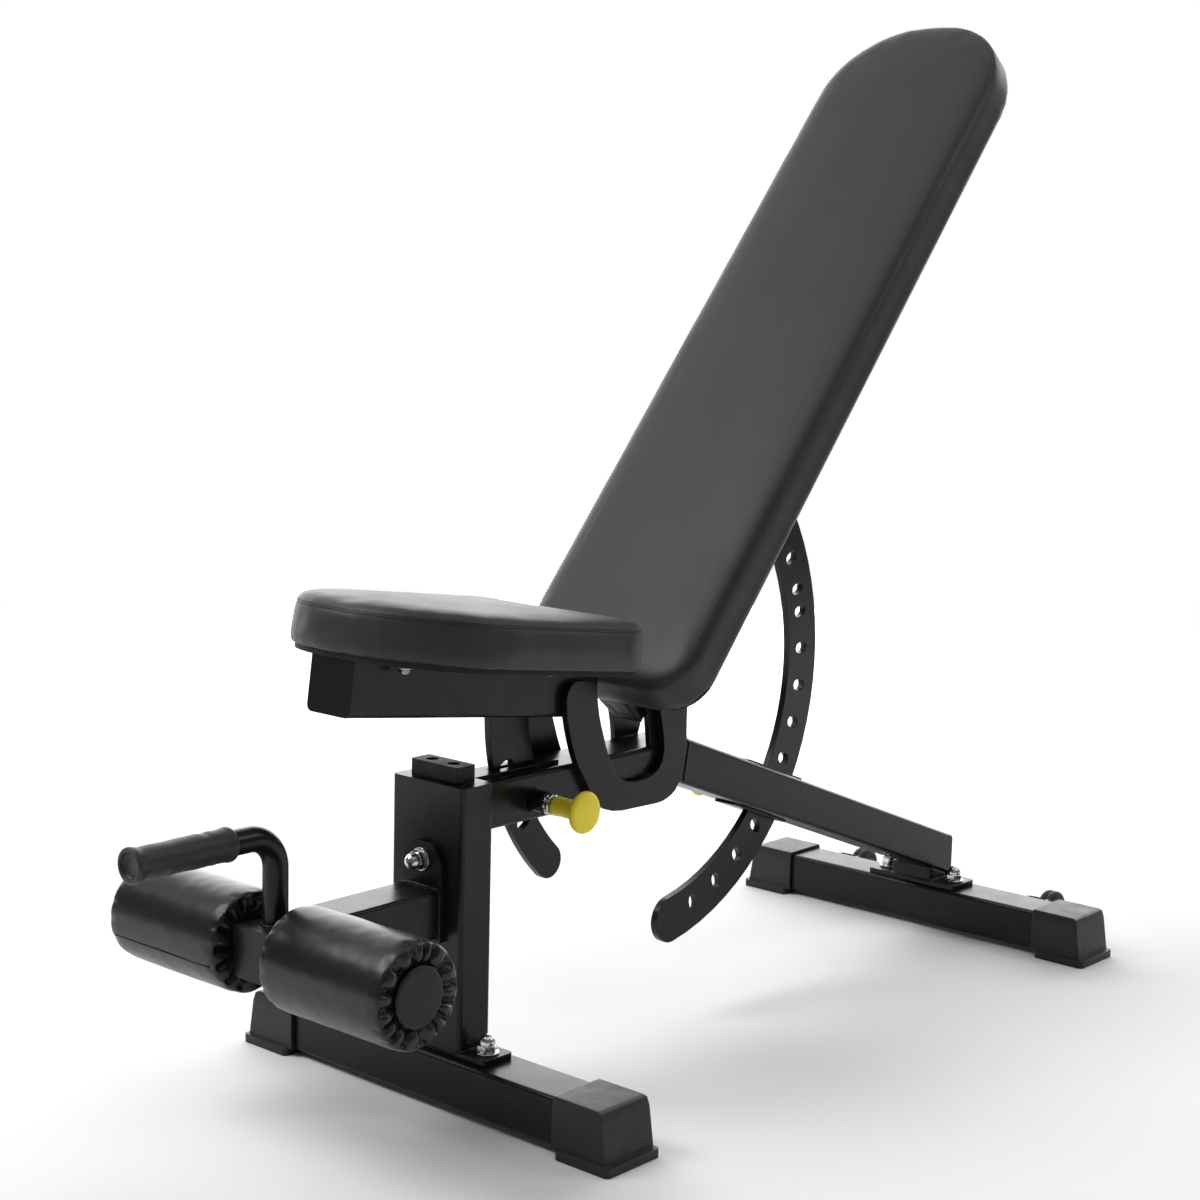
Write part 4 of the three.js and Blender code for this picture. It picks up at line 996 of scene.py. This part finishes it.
def weld_post_and_beam(beads):
    post_low, post_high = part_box("post")
    weld_line(beads, ring_corners(post_high.x, post_low.y, post_high.y, post_low.z), closed=True)
    beam_low, beam_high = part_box("beam_level_tube")
    weld_line(beads, upright_ring(beam_high.x, beam_low.z, beam_high.z, beam_low.y), closed=True)
    lean = (beam_high.z - beam_low.z) * math.tan(BEAM_SLOPE / 2) * 0.86
    bend_y = beam_bend()
    for side in (-1, 1):
        x = side * (beam_high.x + 0.2 * MM)
        top = (x, bend_y, beam_high.z - 4 * MM)
        bottom = (x, bend_y - lean, beam_low.z + 3 * MM)
        weld_line(beads, [top, bottom], FINE_BEAD)
    half = 26 * MM
    weld_line(beads, [(-half, bend_y, beam_high.z), (half, bend_y, beam_high.z)], FINE_BEAD)
    plate_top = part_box("post_base_plate")[1].z
    mount_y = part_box("rear_foot_mount")[0].y
    weld_line(beads, ring_corners(30 * MM, mount_y, mount_y + 49 * MM, plate_top), FULL_BEAD, closed=True)


def weld_leg_arm(beads):
    arm_low, arm_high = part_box("leg_arm")
    pipe_low, pipe_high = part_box("handle_bar")
    arm_top = pipe_low.z - 0.3 * MM
    ring = upright_ring(26 * MM, arm_low.z + 4 * MM, arm_top, arm_high.y - 6 * MM)
    weld_line(beads, ring, 2.2 * MM, closed=True)
    pipe_radius = (pipe_high.x - pipe_low.x) / 2
    foot = Vector((0, pipe_high.y - pipe_radius, pipe_low.z))
    weld_line(beads, circle(foot, 12.8 * MM, (0, 0, 1)), 1.7 * MM, closed=True)


def weld_small_plates(beads):
    for which, sign in PINS:
        root = middle(which + "_pin_boss")
        root.x = sign * reach_across(which + "_pin_boss")[0]
        weld_line(beads, circle(root, 12.4 * MM, (1, 0, 0)), FINE_BEAD, closed=True)
    for side, _ in SIDES:
        low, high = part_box("pivot_cheek_" + side)
        for x in (low.x, high.x):
            weld_line(beads, [(x, low.y + 11 * MM, low.z), (x, low.y + 45 * MM, low.z)], FULL_BEAD)
        low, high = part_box("wheel_bracket_" + side)
        for x in (low.x + 4 * MM, high.x - 4 * MM):
            weld_line(beads, [(x, low.y, low.z + 4 * MM), (x, low.y, high.z - 2 * MM)], FINE_BEAD)
    low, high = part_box("seat_arc_guide")
    for x in (low.x, high.x):
        weld_line(beads, [(x, low.y + 8 * MM, low.z), (x, low.y + 40 * MM, low.z)], FINE_BEAD)
        weld_line(beads, [(x, high.y - 40 * MM, low.z), (x, high.y - 8 * MM, low.z)], FINE_BEAD)


def make_frame_welds():
    beads = Build()
    weld_post_and_beam(beads)
    weld_leg_arm(beads)
    weld_small_plates(beads)
    beads.piece("frame_weld_beads", POWDER, "frame", "powder_coat", smooth=0)


def make_seat_welds():
    beads = Build()
    low, high = local_box("seat_channel", SEAT)
    for side in (-1, 1):
        x = side * (high.x + 0.4 * MM)
        start_y = high.y - 46 * MM
        lower_z = low.z + 8 * MM
        upper_z = high.z - 6 * MM
        weld_line(beads, [(x, start_y, lower_z), (x, high.y - 2 * MM, lower_z)], 1.7 * MM)
        weld_line(beads, [(x, start_y, upper_z), (x, high.y - 8 * MM, upper_z)], FINE_BEAD)
    arc_low, arc_high = local_box("seat_arc_plate", SEAT)
    for side in (-1, 1):
        x = side * PLATE_FACE
        ends = [(x, arc_low.y + 3 * MM, arc_high.z), (x, arc_high.y - 3 * MM, arc_high.z)]
        weld_line(beads, ends, FULL_BEAD)
    beads.piece("seat_weld_beads", POWDER, "seat", "powder_coat", smooth=0, place=SEAT)


def make_back_welds():
    """The beads where the long locking plate's root meets the spine's underside."""
    beads = Build()
    under = -1.9 * MM
    for side in (-1, 1):
        x = side * PLATE_FACE
        weld_line(beads, [(x, 262 * MM, under), (x, 306 * MM, under)], FULL_BEAD)
    beads.piece("back_weld_beads", POWDER, "backrest", "powder_coat", smooth=0, place=BACK)


# ---------------------------------------------------------------- small pieces
def rounded_plate(x_half, z_low, z_high, corner, steps=6):
    """A rounded rectangle as points (x, z)."""
    points = []
    centres = [
        (x_half - corner, z_low + corner, -0.5), (x_half - corner, z_high - corner, 0.0),
        (-x_half + corner, z_high - corner, 0.5), (-x_half + corner, z_low + corner, 1.0)]
    for x, z, start in centres:
        for k in range(steps + 1):
            turn = (start + 0.5 * k / steps) * math.pi
            points.append((x + corner * math.cos(turn), z + corner * math.sin(turn)))
    return points


def add_end_plug(build, place, x_half, z_low, z_high):
    """A ribbed plastic plug in an open tube end, facing local +Y, with its face just proud of it."""
    section = [
        (-3.2, -12), (-3.2, -0.2), (0, -0.2), (0, 1.4), (-0.5, 2.0), (-1.4, 2.3),
        (-8, 2.3), (-9, 1.8), (-14, 1.8)]
    rings = []
    for grow, along in section:
        corner = max(1.2, 5 + grow) * MM
        outline = rounded_plate(x_half + grow * MM, z_low - grow * MM, z_high + grow * MM, corner)
        rings.append([place @ Vector((x, along * MM, z)) for x, z in outline])
    build.ring_skin(rings)


def make_end_plugs():
    low, high = local_box("back_spine", BACK)
    ends = Build()
    half_turn = Matrix.Rotation(math.pi, 4, "Z")
    upper = BACK @ Matrix.Translation((0, high.y, 0))
    lower = BACK @ Matrix.Translation((0, low.y, 0)) @ half_turn
    for place in (upper, lower):
        add_end_plug(ends, place, 20 * MM, -1.7 * MM, high.z)
    ends.piece("spine_end_plugs", BLACK_PLASTIC, "backrest", "black_plastic")
    beam_low, beam_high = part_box("beam_sloped_tube")
    level_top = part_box("beam_level_tube")[1].z
    top = level_top - math.tan(BEAM_SLOPE) * (beam_high.y - beam_bend())
    plug = Build()
    place = Matrix.Translation((0, beam_high.y, 0))
    add_end_plug(plug, place, 30 * MM, beam_low.z + 0.3 * MM, top - 0.3 * MM)
    plug.piece("beam_end_plug", BLACK_PLASTIC, "frame", "black_plastic")


TAB_ROWS = (-415 * MM, -211 * MM)    # along the seat, in its own frame
TAB_CENTRE = 41 * MM                 # from the seat's middle
TAB_THICKNESS = 3.5 * MM


def add_board_tab(build, sign, along, top):
    """One flat tab with an eased lower edge, welded beside the channel under the board."""
    outline = rounded_plate(11 * MM, -12 * MM, 12 * MM, 5 * MM)
    bottom = top - TAB_THICKNESS
    rings = []
    for z, grow in ((bottom, 0.96), (bottom + 0.5 * MM, 1.0), (top - 0.1 * MM, 1.0)):
        rings.append([Vector((sign * (TAB_CENTRE + x * grow), along + y * grow, z)) for x, y in outline])
    build.ring_skin(rings)


def make_seat_fixings():
    """The welded tabs beside the seat channel, with the screws that hold the board."""
    tabs = Build()
    screws = Build()
    top = local_box("seat_channel", SEAT)[1].z
    for along in TAB_ROWS:
        for sign in (-1, 1):
            add_board_tab(tabs, sign, along, top)
            spot = Vector((sign * (TAB_CENTRE + 1 * MM), along, top - TAB_THICKNESS))
            place = facing((0, 0, -1), spot)
            add_washer(screws, place, 0, 7.5 * MM, 1.2 * MM)
            add_hex(screws, place, 1.2 * MM, 6 * MM, 5.2 * MM)
    tabs.piece("seat_board_tabs", POWDER, "seat", "powder_coat", place=SEAT)
    screws.piece("seat_board_screws", ZINC, "seat", "zinc_steel", place=SEAT)


def make_wheels():
    half = [
        (5.09, -10), (9, -10, 0.6), (10, -8.2, 1), (15.5, -8.2, 1), (17, -9.6, 1), (20.5, -9.6, 2),
        (23.9, -7, 2.5), (23.9, -2, 0.4), (22.9, -1.2, 0.4)]
    mirrored = [(r, -along, *rest) for r, along, *rest in reversed(half)]
    profile = scaled(filleted(half + mirrored, 1, 4))
    for side, _ in SIDES:
        node = "transport_wheel_" + side
        centre = middle(node)
        wheel = Build()
        wheel.turn(profile, 96, facing((1, 0, 0), centre))
        wheel.piece("wheel_tyre_" + side, WHEEL_RUBBER, "wheel_" + side, "wheel_rubber", [node])
        nuts = Build()
        for direction in (-1, 1):
            end = facing((direction, 0, 0), centre)
            add_washer(nuts, end, 16.2 * MM, 8 * MM, 1.2 * MM)
            add_hex(nuts, end, 17.4 * MM, 21.5 * MM, 6.5 * MM)
        nuts.piece("wheel_axle_nuts_" + side, ZINC, "frame", "zinc_steel")


# ---------------------------------------------------------------- stage, light and camera
CAMERA_PLACE = Vector((1.4975, -1.7899, 0.8187))
CAMERA_AZIMUTH = math.radians(41.156)
CAMERA_ELEVATION = math.radians(8.252)
CAMERA_ROLL = math.radians(1.41)
CAMERA_LENS = 64.64                  # millimetres
SENSOR_WIDTH = 36                    # millimetres


def make_camera():
    data = bpy.data.cameras.new("camera")
    data.sensor_width = SENSOR_WIDTH
    data.lens = CAMERA_LENS
    camera = bpy.data.objects.new("camera", data)
    back = Vector((
        math.sin(CAMERA_AZIMUTH) * math.cos(CAMERA_ELEVATION),
        -math.cos(CAMERA_AZIMUTH) * math.cos(CAMERA_ELEVATION),
        math.sin(CAMERA_ELEVATION)))
    right = Vector((math.cos(CAMERA_AZIMUTH), math.sin(CAMERA_AZIMUTH), 0))
    up = back.cross(right)
    rolled_right = right * math.cos(CAMERA_ROLL) + up * math.sin(CAMERA_ROLL)
    rolled_up = up * math.cos(CAMERA_ROLL) - right * math.sin(CAMERA_ROLL)
    turned = Matrix((rolled_right, rolled_up, back)).transposed().to_4x4()
    camera.matrix_world = Matrix.Translation(CAMERA_PLACE) @ turned
    bpy.context.scene.collection.objects.link(camera)
    bpy.context.scene.camera = camera


FLOOR_RADIUS = 3.3
SHADED_RADIUS = 0.9                  # beyond this the floor starts to glow, up to its rim
RIM_GLOW = 0.7


def make_floor():
    """A round sheet of white paper that brightens outwards, so that its rim meets the background."""
    below = -0.2 * MM
    rim_points = 96
    turns = [2 * math.pi * k / rim_points for k in range(rim_points)]
    rim = [(FLOOR_RADIUS * math.cos(t), FLOOR_RADIUS * math.sin(t), below) for t in turns]
    mesh = bpy.data.meshes.new("floor")
    mesh.from_pydata(rim, [], [tuple(range(rim_points))])
    paper = Finish("floor_paper", Roughness=0.8, Specular_IOR_Level=0.15)
    paper.colour(paper.noise(3, 3), (0.90, 0.90, 0.90), (0.92, 0.92, 0.92))
    paper.shader.inputs["Emission Color"].default_value = (1, 1, 1, 1)
    distance = paper.add("ShaderNodeVectorMath", {0: paper.place}, operation="LENGTH").outputs["Value"]
    glow = paper.remap(distance, SHADED_RADIUS, FLOOR_RADIUS - 0.4, 0.0, RIM_GLOW)
    paper.feed("Emission Strength", glow)
    mesh.materials.append(paper.material)
    floor = bpy.data.objects.new("floor", mesh)
    bpy.context.scene.collection.objects.link(floor)


def softbox(name, place, target, size, power):
    """A rectangular light of a size in metres and a power in watts, facing its target."""
    data = bpy.data.lights.new(name, "AREA")
    data.shape = "RECTANGLE"
    data.size, data.size_y = size
    data.energy = power
    light = bpy.data.objects.new(name, data)
    place = Vector(place)
    light.location = place
    light.rotation_mode = "QUATERNION"
    light.rotation_quaternion = (Vector(target) - place).to_track_quat("-Z", "Y")
    bpy.context.scene.collection.objects.link(light)


ROOM_GLOW = 0.12                     # the light that the room itself gives


def make_white_to_the_camera(tree):
    """A dim room for the light it gives, seen as plain white."""
    ray = tree.nodes.new("ShaderNodeLightPath").outputs["Is Camera Ray"]
    strength = tree.nodes.new("ShaderNodeMapRange")
    tree.links.new(ray, strength.inputs["Value"])
    strength.inputs["To Min"].default_value = ROOM_GLOW
    strength.inputs["To Max"].default_value = 1.0
    tree.links.new(strength.outputs["Result"], tree.nodes["Background"].inputs["Strength"])


def make_light():
    world = bpy.data.worlds.new("studio")
    world.use_nodes = True
    world.node_tree.nodes["Background"].inputs["Color"].default_value = (1, 1, 1, 1)
    make_white_to_the_camera(world.node_tree)
    bpy.context.scene.world = world
    bpy.context.scene.view_settings.view_transform = "Standard"
    ahead = Vector((-math.sin(CAMERA_AZIMUTH), math.cos(CAMERA_AZIMUTH), 0))
    wall = ahead * 3.6
    softbox("white_wall", (wall.x, wall.y, 1.75), (0, 0, 1.75), (10, 3.5), 330)
    softbox("overhead", (-0.3, 0.3, 3.4), (-0.3, 0.3, 0), (6, 6), 72)
    softbox("key_upper_left", (-1.5, -2.0, 2.9), (0, 0.1, 0.5), (1.7, 1.7), 62)
    softbox("backrest_side", (1.7, 1.2, 1.9), (0.1, 0.5, 0.95), (0.8, 0.8), 7)


make_camera()
dress_frame()
make_pads()
for side, sign in SIDES:
    make_roller(side, sign)
make_handle()
make_grip()
make_foot_nuts()
make_arm_nut()
make_pivot_bolt()
for which, sign in PINS:
    make_pull_pin(which, sign)
make_frame_welds()
make_seat_welds()
make_back_welds()
make_end_plugs()
make_seat_fixings()
make_wheels()
make_floor()
make_light()
